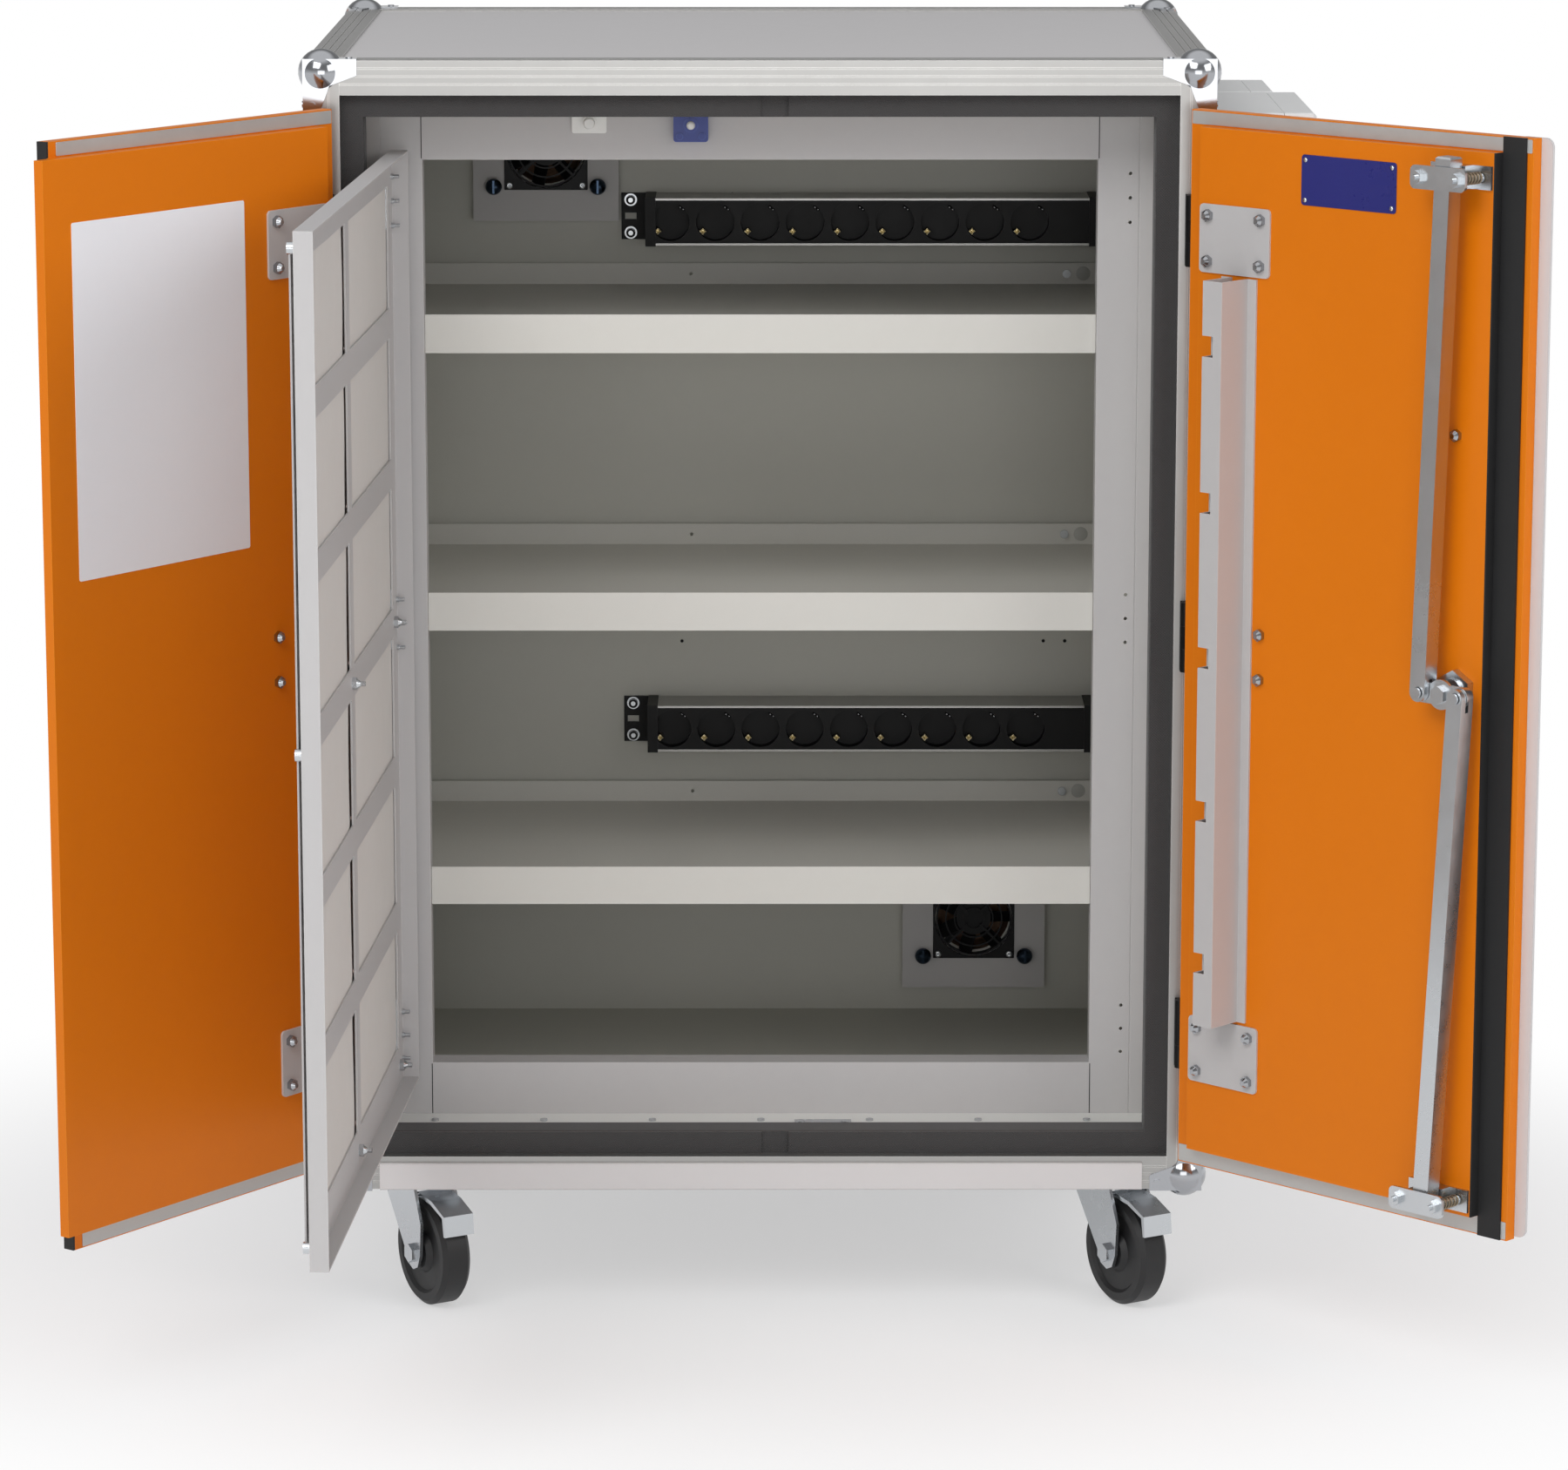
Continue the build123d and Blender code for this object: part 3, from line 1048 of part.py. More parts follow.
def build():
    """Write every node."""
    os.makedirs("parts", exist_ok=True)
    save("edge_extrusions", *edge_extrusions())
    save("wall_boards", *wall_boards(), cover_board())
    save("top_board", flat_board(TOP - SKIN - BOARD))
    save("ball_corners", *ball_corners())
    save("wall_core", wall_core())
    save("seal_ring", seal_ring())
    save("liner_box", *liner_sheets())
    save("inner_frame", inner_frame(), *tray_cleats())
    for name, top in zip(("tray_upper", "tray_middle", "tray_lower"), TRAY_TOPS):
        save(name, tray(top))
    save("sill_plate", sill_plate())
    save("sill_fittings", strike_plate(), *front_screws())
    save("strip_rails", *[strip_rail(z) for z in STRIP_Z])
    ends = [strip_end(side, z) for side in (-1, 1) for z in STRIP_Z]
    save("strip_faces", *[strip_face(z) for z in STRIP_Z], *ends)
    save("strip_bolts", *strip_bolts())
    save("fan_plates", *[fan_plate(x, z) for x, z in FAN_CENTRES])
    save("fan_units", *[piece for x, z in FAN_CENTRES for piece in fan_unit(x, z)])
    save("fan_knobs", *[piece for x, z in FAN_CENTRES for piece in knobs(x, z)])
    save("rotor_upper", rotor(*FAN_CENTRES[0]))
    save("rotor_lower", rotor(*FAN_CENTRES[1]))
    save("button_plate", button_plate())
    save("button", button())
    save("limit_switch", limit_switch())
    save("limit_plunger", plunger())
    save("side_box", *side_box())
    fixed = [outer_hinge_fixed(side * HINGE_X, z) for side in (-1, 1) for z in HINGE_Z]
    save("hinges_fixed", *fixed)

    def left(shape):
        return turn_at(shape, -HINGE_X, HINGE_Y, -LEFT_OPEN)

    def right(shape):
        return turn_at(shape, HINGE_X, HINGE_Y, RIGHT_OPEN)

    rebate = slab((LEFT_SKIN_EDGE, LEFT_CORE_EDGE + 1), (0, DOOR_SKIN + RUBBER_THICK + FIT), (0, TOP))
    save("left_skin", left(door_skin(-1, LEFT_SKIN_EDGE - EDGE_TRIM)))
    save("left_core", left(door_core(-1, LEFT_CORE_EDGE) - rebate))
    edge = slab((LEFT_SKIN_EDGE - EDGE_TRIM, LEFT_SKIN_EDGE), (0, DOOR_SKIN), (SKIN_LOW, SKIN_HIGH))
    save("left_edge", left(edge))
    save("left_plates", *[left(s) for s in door_plates(-1)])
    save("left_nuts", *[left(s) for s in door_nuts(-1)])
    save("left_hinges", *[left(outer_hinge_moving(-HINGE_X, z)) for z in HINGE_Z])

    bore = disc(11, (LOCK_X, -1, LOCK_Z), (0, 1, 0), CORE_FACE + 2)
    save("right_skin", right(door_skin(1, RIGHT_SKIN_EDGE) - bore))
    save("right_core", right(door_core(1, RIGHT_CORE_EDGE + 1.5) - bore))
    save("right_rubber", right(edge_rubber()))
    save("astragal", right(astragal()))
    save("right_plates", *[right(s) for s in door_plates(1)])
    nuts = door_nuts(1) + [cap_nut(LOCK_X + 7, LOCK_Z + 219, CORE_FACE)]
    save("right_nuts", *[right(s) for s in nuts])
    save("right_hinges", *[right(outer_hinge_moving(HINGE_X, z)) for z in HINGE_Z])
    save("lock_channel", right(lock_channel()))
    save("lock_fixings", right(lock_housing()), *[right(guide(up)) for up in (1, -1)])
    save("lever", right(lever()))
    save("cam", right(cam()))
    save("rod_upper", right(lock_rod(1)))
    save("rod_lower", right(lock_rod(-1)))

    def filtered(shape):
        return turn_at(shape, FILTER_HINGE_X, FILTER_FACE + FILTER_THICK / 2, -FILTER_OPEN)

    save("filter_frame", filtered(filter_pan()), filtered(filter_cover()))
    save("filter_mats", *[filtered(s) for s in filter_mats()])
    save("filter_leaves", *[filtered(filter_hinge_moving(z)) for z in FILTER_HINGE_Z])
    save("filter_pins", *[filtered(s) for s in filter_pins()])
    save("filter_hinges", *[filter_hinge_fixed(z) for z in FILTER_HINGE_Z])

    tops = [castor_top(side * CASTOR_X, CASTOR_FRONT) for side in (-1, 1)]
    save("castor_mounts", *tops, *[rear_castor(side * CASTOR_X) for side in (-1, 1)])
    crown_hole = disc(6 + PIN_FIT, (0, 0, 100), (0, 0, 1), 30)
    pin_hole = disc(PEDAL_PIN + PIN_FIT, (-FORK_WIDTH, *PEDAL_AT), (1, 0, 0), 2 * FORK_WIDTH)
    for name, side in (("left", -1), ("right", 1)):
        x = side * CASTOR_X
        save(f"fork_{name}", castor_place(fork(CASTOR_TRAIL) - crown_hole - pin_hole, x))
        save(f"pedal_{name}", castor_place(pedal(), x))
        turn = math.radians(CASTOR_TURN)
        wx = x + CASTOR_TRAIL * math.sin(turn)
        wy = CASTOR_FRONT - CASTOR_TRAIL * math.cos(turn)
        save(f"wheel_front_{name}", wheel(wx, wy, CASTOR_TURN))
        save(f"wheel_rear_{name}", wheel(x, CASTOR_REAR, 0))


build()
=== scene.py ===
# %% [markdown]
# # Dressing a battery cabinet
#
# The imported model gives every rigid piece at its real place, in metres. This script adds
# what a frame cannot hold: materials with grain and painted edge tones, filter fleece, springs,
# the fine wire guard, contacts inside the sockets, and the light they are seen in.

# %% Setup
import json
import math
import bpy
import bmesh
import numpy as np
from mathutils import Matrix, Vector


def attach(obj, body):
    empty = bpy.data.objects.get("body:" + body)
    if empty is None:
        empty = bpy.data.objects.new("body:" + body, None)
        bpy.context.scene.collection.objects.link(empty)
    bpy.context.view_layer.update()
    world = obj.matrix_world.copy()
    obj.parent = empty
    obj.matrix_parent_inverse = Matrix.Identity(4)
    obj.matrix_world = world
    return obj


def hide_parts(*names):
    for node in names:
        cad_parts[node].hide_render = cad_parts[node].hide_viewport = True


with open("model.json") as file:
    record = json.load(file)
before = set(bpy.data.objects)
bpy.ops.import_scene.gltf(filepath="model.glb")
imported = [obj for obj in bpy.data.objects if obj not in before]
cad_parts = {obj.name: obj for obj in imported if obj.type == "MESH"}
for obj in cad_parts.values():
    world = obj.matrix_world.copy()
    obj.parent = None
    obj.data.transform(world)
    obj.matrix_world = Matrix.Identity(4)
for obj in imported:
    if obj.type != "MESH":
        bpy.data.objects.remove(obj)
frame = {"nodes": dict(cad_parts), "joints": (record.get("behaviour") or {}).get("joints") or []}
nodes = frame["nodes"]
joints = {joint["name"]: joint for joint in frame["joints"]}
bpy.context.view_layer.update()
MM = 0.001

# %% [markdown]
# ## Doors as flat drawings
#
# The doors stand open, so anything on them is easiest to describe as if they were shut.
# `hang` takes such a piece and turns it about the door's own hinge to where the door is.


# %% Places on the doors
LEFT_OPEN = 126.7
RIGHT_OPEN = 135.6
FILTER_OPEN = 93.4


def turned(joint, degrees):
    """The rotation about a joint's axis through its pivot; positive opens the door."""
    pivot = Vector(joints[joint]["pos_m"])
    axis = Vector(joints[joint]["axis"])
    spin = Matrix.Rotation(math.radians(degrees), 4, axis)
    return Matrix.Translation(pivot) @ spin @ Matrix.Translation(-pivot)


HANG = {
    "left_door": turned("left_door_hinge", LEFT_OPEN),
    "right_door": turned("right_door_hinge", RIGHT_OPEN),
    "filter_door": turned("filter_door_hinge", FILTER_OPEN),
    "cabinet": Matrix.Identity(4),
}
print("doors hung from", sorted(HANG))


# %% [markdown]
# ## Shared shader groups
#
# Each group works from Object coordinates, so a grain has its real size in metres.
# The groups put out only masks, values and normals; every material owns its own BSDF.


# %% Node helpers
def new_group(name, inputs, outputs):
    """An empty node group with its sockets: name, type and, for inputs, a default."""
    tree = bpy.data.node_groups.new(name, "ShaderNodeTree")
    for label, kind, value in inputs:
        socket = tree.interface.new_socket(label, in_out="INPUT", socket_type=kind)
        socket.default_value = value
    for label, kind in outputs:
        tree.interface.new_socket(label, in_out="OUTPUT", socket_type=kind)
    return tree, tree.nodes.new("NodeGroupInput"), tree.nodes.new("NodeGroupOutput")


def add(tree, kind, settings=None, values=None, links=None):
    """One node; values fill sockets with constants and links fill them from other sockets."""
    node = tree.nodes.new(kind)
    for key, value in (settings or {}).items():
        setattr(node, key, value)
    for key, value in (values or {}).items():
        node.inputs[key].default_value = value
    for key, source in (links or {}).items():
        tree.links.new(source, node.inputs[key])
    return node


def maths(tree, operation, first, second=None, third=None):
    """A Math node; each argument is a number or a socket."""
    node = tree.nodes.new("ShaderNodeMath")
    node.operation = operation
    for index, value in enumerate((first, second, third)):
        if value is None:
            continue
        if isinstance(value, (int, float)):
            node.inputs[index].default_value = value
        else:
            tree.links.new(value, node.inputs[index])
    return node.outputs[0]


# %% Mottle: slow and fast unevenness
def make_mottle():
    """Two noises, one broad and one fine, mixed into a mask around one half."""
    tree, source, sink = new_group(
        "Mottle",
        [("Broad", "NodeSocketFloat", 3.0), ("Fine", "NodeSocketFloat", 60.0)],
        [("Mask", "NodeSocketFloat"), ("Detail", "NodeSocketFloat")],
    )
    place = add(tree, "ShaderNodeTexCoord").outputs["Object"]
    broad = add(tree, "ShaderNodeTexNoise", values={"Detail": 3.0, "Roughness": 0.55},
                links={"Vector": place, "Scale": source.outputs["Broad"]})
    fine = add(tree, "ShaderNodeTexNoise", values={"Detail": 4.0, "Roughness": 0.6},
               links={"Vector": place, "Scale": source.outputs["Fine"]})
    mixed = maths(tree, "MULTIPLY", broad.outputs[0], 0.65)
    mixed = maths(tree, "MULTIPLY_ADD", fine.outputs[0], 0.35, mixed)
    tree.links.new(mixed, sink.inputs["Mask"])
    tree.links.new(fine.outputs[0], sink.inputs["Detail"])
    return tree


# %% Streaks: the lie of a brushed or drawn metal
def make_streaks():
    """Noise stretched along one axis; Stretch holds the frequency along x, y and z."""
    tree, source, sink = new_group(
        "Streaks",
        [("Stretch", "NodeSocketVector", (4.0, 4.0, 900.0)), ("Height", "NodeSocketFloat", 0.2)],
        [("Mask", "NodeSocketFloat"), ("Normal", "NodeSocketVector")],
    )
    place = add(tree, "ShaderNodeTexCoord").outputs["Object"]
    scaled = add(tree, "ShaderNodeVectorMath", {"operation": "MULTIPLY"},
                 links={0: place, 1: source.outputs["Stretch"]})
    noise = add(tree, "ShaderNodeTexNoise", values={"Scale": 1.0, "Detail": 3.0, "Roughness": 0.6},
                links={"Vector": scaled.outputs[0]})
    bump = add(tree, "ShaderNodeBump", values={"Distance": 0.0002},
               links={"Height": noise.outputs[0], "Strength": source.outputs["Height"]})
    tree.links.new(noise.outputs[0], sink.inputs["Mask"])
    tree.links.new(bump.outputs[0], sink.inputs["Normal"])
    return tree


# %% Grain: orange peel, cast or moulded texture
def make_grain():
    """A fine bump of a given frequency and height."""
    tree, source, sink = new_group(
        "Grain",
        [("Scale", "NodeSocketFloat", 900.0), ("Height", "NodeSocketFloat", 0.15)],
        [("Mask", "NodeSocketFloat"), ("Normal", "NodeSocketVector")],
    )
    place = add(tree, "ShaderNodeTexCoord").outputs["Object"]
    noise = add(tree, "ShaderNodeTexNoise", values={"Detail": 2.0, "Roughness": 0.5},
                links={"Vector": place, "Scale": source.outputs["Scale"]})
    bump = add(tree, "ShaderNodeBump", values={"Distance": 0.0003},
               links={"Height": noise.outputs[0], "Strength": source.outputs["Height"]})
    tree.links.new(noise.outputs[0], sink.inputs["Mask"])
    tree.links.new(bump.outputs[0], sink.inputs["Normal"])
    return tree


# %% Weave: crossed threads
def make_weave():
    """Threads over and under: the product of two sines, one for each direction."""
    tree, source, sink = new_group(
        "Weave",
        [("Threads", "NodeSocketFloat", 1200.0), ("Height", "NodeSocketFloat", 0.5)],
        [("Mask", "NodeSocketFloat"), ("Normal", "NodeSocketVector")],
    )
    place = add(tree, "ShaderNodeTexCoord").outputs["Object"]
    parts = add(tree, "ShaderNodeSeparateXYZ", links={0: place}).outputs
    around = maths(tree, "ADD", parts[0], parts[1])
    first = maths(tree, "SINE", maths(tree, "MULTIPLY", around, source.outputs["Threads"]))
    second = maths(tree, "SINE", maths(tree, "MULTIPLY", parts[2], source.outputs["Threads"]))
    height = maths(tree, "MULTIPLY_ADD", maths(tree, "MULTIPLY", first, second), 0.5, 0.5)
    bump = add(tree, "ShaderNodeBump", values={"Distance": 0.0006},
               links={"Height": height, "Strength": source.outputs["Height"]})
    tree.links.new(height, sink.inputs["Mask"])
    tree.links.new(bump.outputs[0], sink.inputs["Normal"])
    return tree


# %% Edge tone: a painted highlight along edges, or on the board a darker edge
def make_edges():
    """A mask that is one near a sharp edge, from the difference of bevelled and true normals."""
    tree, source, sink = new_group(
        "Edges",
        [("Width", "NodeSocketFloat", 0.001)],
        [("Mask", "NodeSocketFloat"), ("Normal", "NodeSocketVector")],
    )
    round_off = add(tree, "ShaderNodeBevel", {"samples": 4}, links={"Radius": source.outputs["Width"]})
    true = add(tree, "ShaderNodeNewGeometry").outputs["True Normal"]
    dot = add(tree, "ShaderNodeVectorMath", {"operation": "DOT_PRODUCT"},
              links={0: round_off.outputs[0], 1: true})
    lost = maths(tree, "SUBTRACT", 1.0, dot.outputs["Value"])
    mask = add(tree, "ShaderNodeMapRange", values={1: 0.01, 2: 0.25}, links={0: lost})
    tree.links.new(mask.outputs[0], sink.inputs["Mask"])
    tree.links.new(round_off.outputs[0], sink.inputs["Normal"])
    return tree


GROUPS = {
    "mottle": make_mottle(), "streaks": make_streaks(), "grain": make_grain(),
    "weave": make_weave(), "edges": make_edges(),
}
print("shader groups:", ", ".join(GROUPS))


# %% [markdown]
# ## Materials
#
# Colours are given as they look on a screen and turned into linear light once, in `shade`.


# %% Material builder
def shade(red, green, blue):
    """Screen colour, 0 to 255, as linear light with full alpha."""
    found = []
    for value in (red, green, blue):
        value = value / 255
        found.append(value / 12.92 if value <= 0.04045 else ((value + 0.055) / 1.055) ** 2.4)
    return (*found, 1.0)


def use(tree, name, **values):
    """A shared group in a material, with constants for its inputs."""
    node = tree.nodes.new("ShaderNodeGroup")
    node.node_tree = GROUPS[name]
    for key, value in values.items():
        node.inputs[key].default_value = value
    return node


def finish_material(name, low, high, rough, texture, metallic=0.0, broad=3.0, fine=70.0,
                    coat=0.0, edge=None, edge_width=0.001, specular=0.5, sheen=0.0):
    """A surface whose colour runs between two tones, with grain, edge tone and roughness range.

    low and high are the two tones, rough the roughness at each end of the mottle mask, and
    texture is (group name, its inputs). edge is the tone painted along the edges: a painted
    highlight where it is lighter than the surface, and only a darker edge where it is darker.
    """
    made = bpy.data.materials.new(name)
    made.use_nodes = True
    tree = made.node_tree
    bsdf = tree.nodes["Principled BSDF"]
    mottle = use(tree, "mottle", Broad=broad, Fine=fine)
    ramp = add(tree, "ShaderNodeMix", {"data_type": "RGBA"}, links={0: mottle.outputs["Mask"]})
    ramp.inputs[6].default_value = low
    ramp.inputs[7].default_value = high
    colour = ramp.outputs[2]
    relief = use(tree, texture[0], **texture[1])
    # Along the edges a second tone is painted over the colour: a painted highlight where it is lighter than
    # the surface.
    if edge is not None:
        painted_edge_mask = use(tree, "edges", Width=edge_width)
        over = add(tree, "ShaderNodeMix", {"data_type": "RGBA"},
                   links={0: painted_edge_mask.outputs["Mask"], 6: colour})
        over.inputs[7].default_value = edge
        colour = over.outputs[2]
    tree.links.new(colour, bsdf.inputs["Base Color"])
    spread = add(tree, "ShaderNodeMapRange", values={1: 0.3, 2: 0.7, 3: rough[0], 4: rough[1]},
                 links={0: mottle.outputs["Mask"]})
    tree.links.new(spread.outputs[0], bsdf.inputs["Roughness"])
    tree.links.new(relief.outputs["Normal"], bsdf.inputs["Normal"])
    bsdf.inputs["Metallic"].default_value = metallic
    bsdf.inputs["Coat Weight"].default_value = coat
    bsdf.inputs["Specular IOR Level"].default_value = specular
    bsdf.inputs["Sheen Weight"].default_value = sheen
    return made


# The lighter edge tones below are painted highlights along the edges; the board's edge tone is only darker
# along its edges.
LOOKS = {
    "powder": finish_material("powder", shade(186, 183, 183), shade(196, 194, 192), (0.42, 0.55),
                              ("grain", {"Scale": 1400.0, "Height": 0.10}), edge=shade(214, 212, 210)),
    "tray": finish_material("tray", shade(206, 204, 197), shade(214, 212, 205), (0.38, 0.5),
                            ("grain", {"Scale": 1400.0, "Height": 0.10}), edge=shade(228, 226, 220)),
    "liner": finish_material("liner", shade(190, 189, 180), shade(200, 199, 190), (0.4, 0.55),
                             ("grain", {"Scale": 1400.0, "Height": 0.10})),
    "board": finish_material("board", shade(206, 203, 202), shade(214, 211, 210), (0.35, 0.5),
                             ("grain", {"Scale": 500.0, "Height": 0.12}), broad=1.5,
                             edge=shade(190, 184, 182)),
    "orange": finish_material("orange", shade(222, 116, 0), shade(232, 126, 4), (0.34, 0.46),
                              ("grain", {"Scale": 420.0, "Height": 0.14}), broad=1.5,
                              edge=shade(238, 146, 30), specular=0.25),
    "aluminium": finish_material("aluminium", shade(160, 159, 157), shade(174, 173, 171), (0.28, 0.4),
                                 ("streaks", {"Stretch": (30.0, 30.0, 30.0), "Height": 0.05}), metallic=0.85,
                                 broad=2.0, edge=shade(226, 225, 222)),
    "chrome": finish_material("chrome", shade(160, 162, 166), shade(178, 180, 184), (0.08, 0.16),
                              ("grain", {"Scale": 300.0, "Height": 0.03}), metallic=1.0),
    "zinc": finish_material("zinc", shade(190, 194, 198), shade(210, 213, 216), (0.18, 0.34),
                            ("grain", {"Scale": 600.0, "Height": 0.06}), metallic=1.0),
    "galvanised": finish_material("galvanised", shade(184, 184, 181), shade(198, 198, 195), (0.3, 0.5),
                                  ("grain", {"Scale": 250.0, "Height": 0.08}), metallic=0.4,
                                  broad=40.0, fine=220.0),
    "seal": finish_material("seal", shade(44, 43, 43), shade(60, 58, 58), (0.6, 0.8),
                            ("weave", {"Threads": 2600.0, "Height": 0.6}), sheen=0.2),
    "rubber": finish_material("rubber", shade(16, 16, 17), shade(30, 30, 31), (0.55, 0.75),
                              ("grain", {"Scale": 800.0, "Height": 0.2})),
    "tyre": finish_material("tyre", shade(22, 22, 23), shade(38, 38, 39), (0.4, 0.6),
                            ("grain", {"Scale": 500.0, "Height": 0.12})),
    "black": finish_material("black", shade(9, 9, 10), shade(15, 15, 16), (0.4, 0.55),
                             ("grain", {"Scale": 1200.0, "Height": 0.15}), edge=shade(40, 40, 43),
                             specular=0.25),
    "core": finish_material("core", shade(120, 92, 72), shade(150, 120, 96), (0.8, 0.95),
                            ("grain", {"Scale": 260.0, "Height": 0.5})),
    "blued": finish_material("blued", shade(40, 52, 68), shade(66, 80, 98), (0.12, 0.25),
                             ("grain", {"Scale": 500.0, "Height": 0.05}), metallic=1.0),
    "white": finish_material("white", shade(226, 226, 222), shade(236, 236, 232), (0.3, 0.4),
                             ("grain", {"Scale": 900.0, "Height": 0.08})),
    "blue": finish_material("blue", shade(20, 42, 120), shade(30, 54, 140), (0.3, 0.42),
                            ("grain", {"Scale": 900.0, "Height": 0.1}), edge=shade(70, 96, 180)),
    "brass": finish_material("brass", shade(190, 176, 140), shade(215, 204, 170), (0.2, 0.3),
                             ("grain", {"Scale": 900.0, "Height": 0.05}), metallic=1.0),
    "spring": finish_material("spring", shade(120, 106, 88), shade(150, 136, 116), (0.25, 0.4),
                              ("grain", {"Scale": 900.0, "Height": 0.05}), metallic=1.0),
    "fleece": finish_material("fleece", shade(196, 190, 183), shade(214, 209, 202), (0.8, 0.95),
                              ("weave", {"Threads": 1500.0, "Height": 0.35}), sheen=0.3),
    "paper": finish_material("paper", shade(240, 240, 244), shade(245, 245, 248), (0.35, 0.45),
                             ("grain", {"Scale": 300.0, "Height": 0.03})),
    "box": finish_material("box", shade(228, 228, 226), shade(236, 236, 234), (0.42, 0.55),
                           ("grain", {"Scale": 1400.0, "Height": 0.10}), edge=shade(242, 242, 240)),
    "disc": finish_material("disc", shade(172, 172, 166), shade(186, 186, 180), (0.4, 0.5),
                            ("grain", {"Scale": 300.0, "Height": 0.03})),
    # Near black for the inside of holes and seam gaps: painted shade.
    "painted_shade": finish_material("painted_shade", shade(12, 12, 12), shade(18, 18, 18), (0.8, 0.9),
                           ("grain", {"Scale": 300.0, "Height": 0.03})),
    "navy": finish_material("navy", shade(30, 34, 110), shade(38, 42, 124), (0.25, 0.35),
                            ("grain", {"Scale": 300.0, "Height": 0.03})),
}
print("materials:", len(LOOKS))

# %% Dress the frame's nodes
DRESS = {
    "powder": "inner_frame fan_plates filter_frame lock_channel left_plates right_plates",
    "box": "side_box",
    "tray": "tray_upper tray_middle tray_lower",
    "liner": "liner_box",
    "board": "wall_boards top_board astragal",
    "orange": "left_skin left_core right_skin right_core",
    "aluminium": "edge_extrusions strip_rails",
    "chrome": "ball_corners left_nuts right_nuts",
    "zinc": "sill_fittings strip_bolts filter_leaves filter_hinges filter_pins lock_fixings cam "
            "rod_upper rod_lower castor_mounts fork_left fork_right pedal_left pedal_right",
    "seal": "seal_ring",
    "rubber": "right_rubber left_edge",
    "tyre": "wheel_front_left wheel_front_right wheel_rear_left wheel_rear_right",
    "black": "strip_faces fan_units rotor_upper rotor_lower lever hinges_fixed left_hinges right_hinges",
    "core": "wall_core",
    "blued": "fan_knobs",
    "white": "button button_plate limit_plunger sill_plate",
    "blue": "limit_switch",
    "fleece": "filter_mats",
}
dressed = 0
for look, names in DRESS.items():
    for name in names.split():
        mesh = nodes[name].data
        mesh.materials.clear()
        mesh.materials.append(LOOKS[look])
        dressed += 1
print("dressed", dressed, "of", len(nodes), "nodes")


# %% [markdown]
# ## Mesh building
#
# Pieces are written as numpy grids: a function of two parameters gives the points, and
# `grid_piece` joins neighbours into faces.


# %% Builders
CORNER_STEPS = 6


def piece(name, mesh, look, body):
    """Link a mesh as a piece that rides on a body."""
    mesh.materials.append(LOOKS[look])
    obj = bpy.data.objects.new(name, mesh)
    bpy.context.scene.collection.objects.link(obj)
    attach(obj, body)
    return obj


def shell_piece(name, points, faces, look, body, smooth=True):
    """A piece from points in metres, its poles welded and its faces turned outwards."""
    mesh = bpy.data.meshes.new(name)
    mesh.from_pydata(points.tolist(), [], faces)
    shape = bmesh.new()
    shape.from_mesh(mesh)
    bmesh.ops.remove_doubles(shape, verts=shape.verts, dist=1e-6)
    bmesh.ops.recalc_face_normals(shape, faces=shape.faces)
    shape.to_mesh(mesh)
    shape.free()
    mesh.transform(HANG.get(body, Matrix.Identity(4)))
    mesh.polygons.foreach_set("use_smooth", [smooth] * len(mesh.polygons))
    mesh.update()
    return piece(name, mesh, look, body)


def grid_piece(name, points, look, body, close_u=False, close_v=False, smooth=True):
    """A surface from points[u, v]; close_u and close_v join the last row to the first."""
    rows, columns = points.shape[:2]
    faces = []
    for i in range(rows if close_u else rows - 1):
        for j in range(columns if close_v else columns - 1):
            k, m = (i + 1) % rows, (j + 1) % columns
            faces.append((i * columns + j, k * columns + j, k * columns + m, i * columns + m))
    return shell_piece(name, points.reshape(-1, 3), faces, look, body, smooth)


def plate_piece(name, x, y, z, radius, look, body, bevel=0.0003):
    """A thin plate in the xz plane with rounded corners, from y[0] to y[1], in millimetres."""
    shape = bmesh.new()
    ring = []
    for cx, cz, start in ((x[1], z[1], 0), (x[0], z[1], 90), (x[0], z[0], 180), (x[1], z[0], 270)):
        inward = (-radius if cx == x[1] else radius, -radius if cz == z[1] else radius)
        for step in range(CORNER_STEPS + 1):
            angle = math.radians(start + 90 * step / CORNER_STEPS)
            px = cx + inward[0] + radius * math.cos(angle)
            pz = cz + inward[1] + radius * math.sin(angle)
            ring.append(shape.verts.new((px * MM, y[0] * MM, pz * MM)))
    face = shape.faces.new(ring)
    grown = bmesh.ops.extrude_face_region(shape, geom=[face])
    moved = [v for v in grown["geom"] if isinstance(v, bmesh.types.BMVert)]
    bmesh.ops.translate(shape, vec=(0, (y[1] - y[0]) * MM, 0), verts=moved)
    bmesh.ops.recalc_face_normals(shape, faces=shape.faces)
    mesh = bpy.data.meshes.new(name)
    shape.to_mesh(mesh)
    shape.free()
    mesh.transform(HANG.get(body, Matrix.Identity(4)))
    made = piece(name, mesh, look, body)
    soften = made.modifiers.new("soften", "BEVEL")
    soften.width = bevel
    soften.segments = 2
    soften.limit_method = "ANGLE"
    return made


def frames_along(path):
    """Two unit vectors square to the path at each of its points."""
    ahead = np.gradient(path, axis=0)
    ahead /= np.linalg.norm(ahead, axis=1)[:, None]
    helper = np.array([0.0, 0.0, 1.0]) if abs(ahead[0, 2]) < 0.9 else np.array([1.0, 0.0, 0.0])
    side = np.cross(ahead, helper)
    side /= np.linalg.norm(side, axis=1)[:, None]
    return side, np.cross(side, ahead)


def wire(name, path, radius, look, body, sides=8, close=False):
    """A round wire along a path of points, in metres; its ends close to a point."""
    if not close:
        first, last = path[0] + 0.1 * (path[0] - path[1]), path[-1] + 0.1 * (path[-1] - path[-2])
        path = np.concatenate([[first], path, [last]])
        radius = np.where(np.arange(len(path)) % (len(path) - 1) == 0, 0.0, radius)[:, None, None]
    side, up = frames_along(path)
    angle = np.linspace(0, 2 * math.pi, sides, endpoint=False)
    around = side[:, None] * np.cos(angle)[None, :, None] + up[:, None] * np.sin(angle)[None, :, None]
    return grid_piece(name, path[:, None] + radius * around, look, body, close, True)


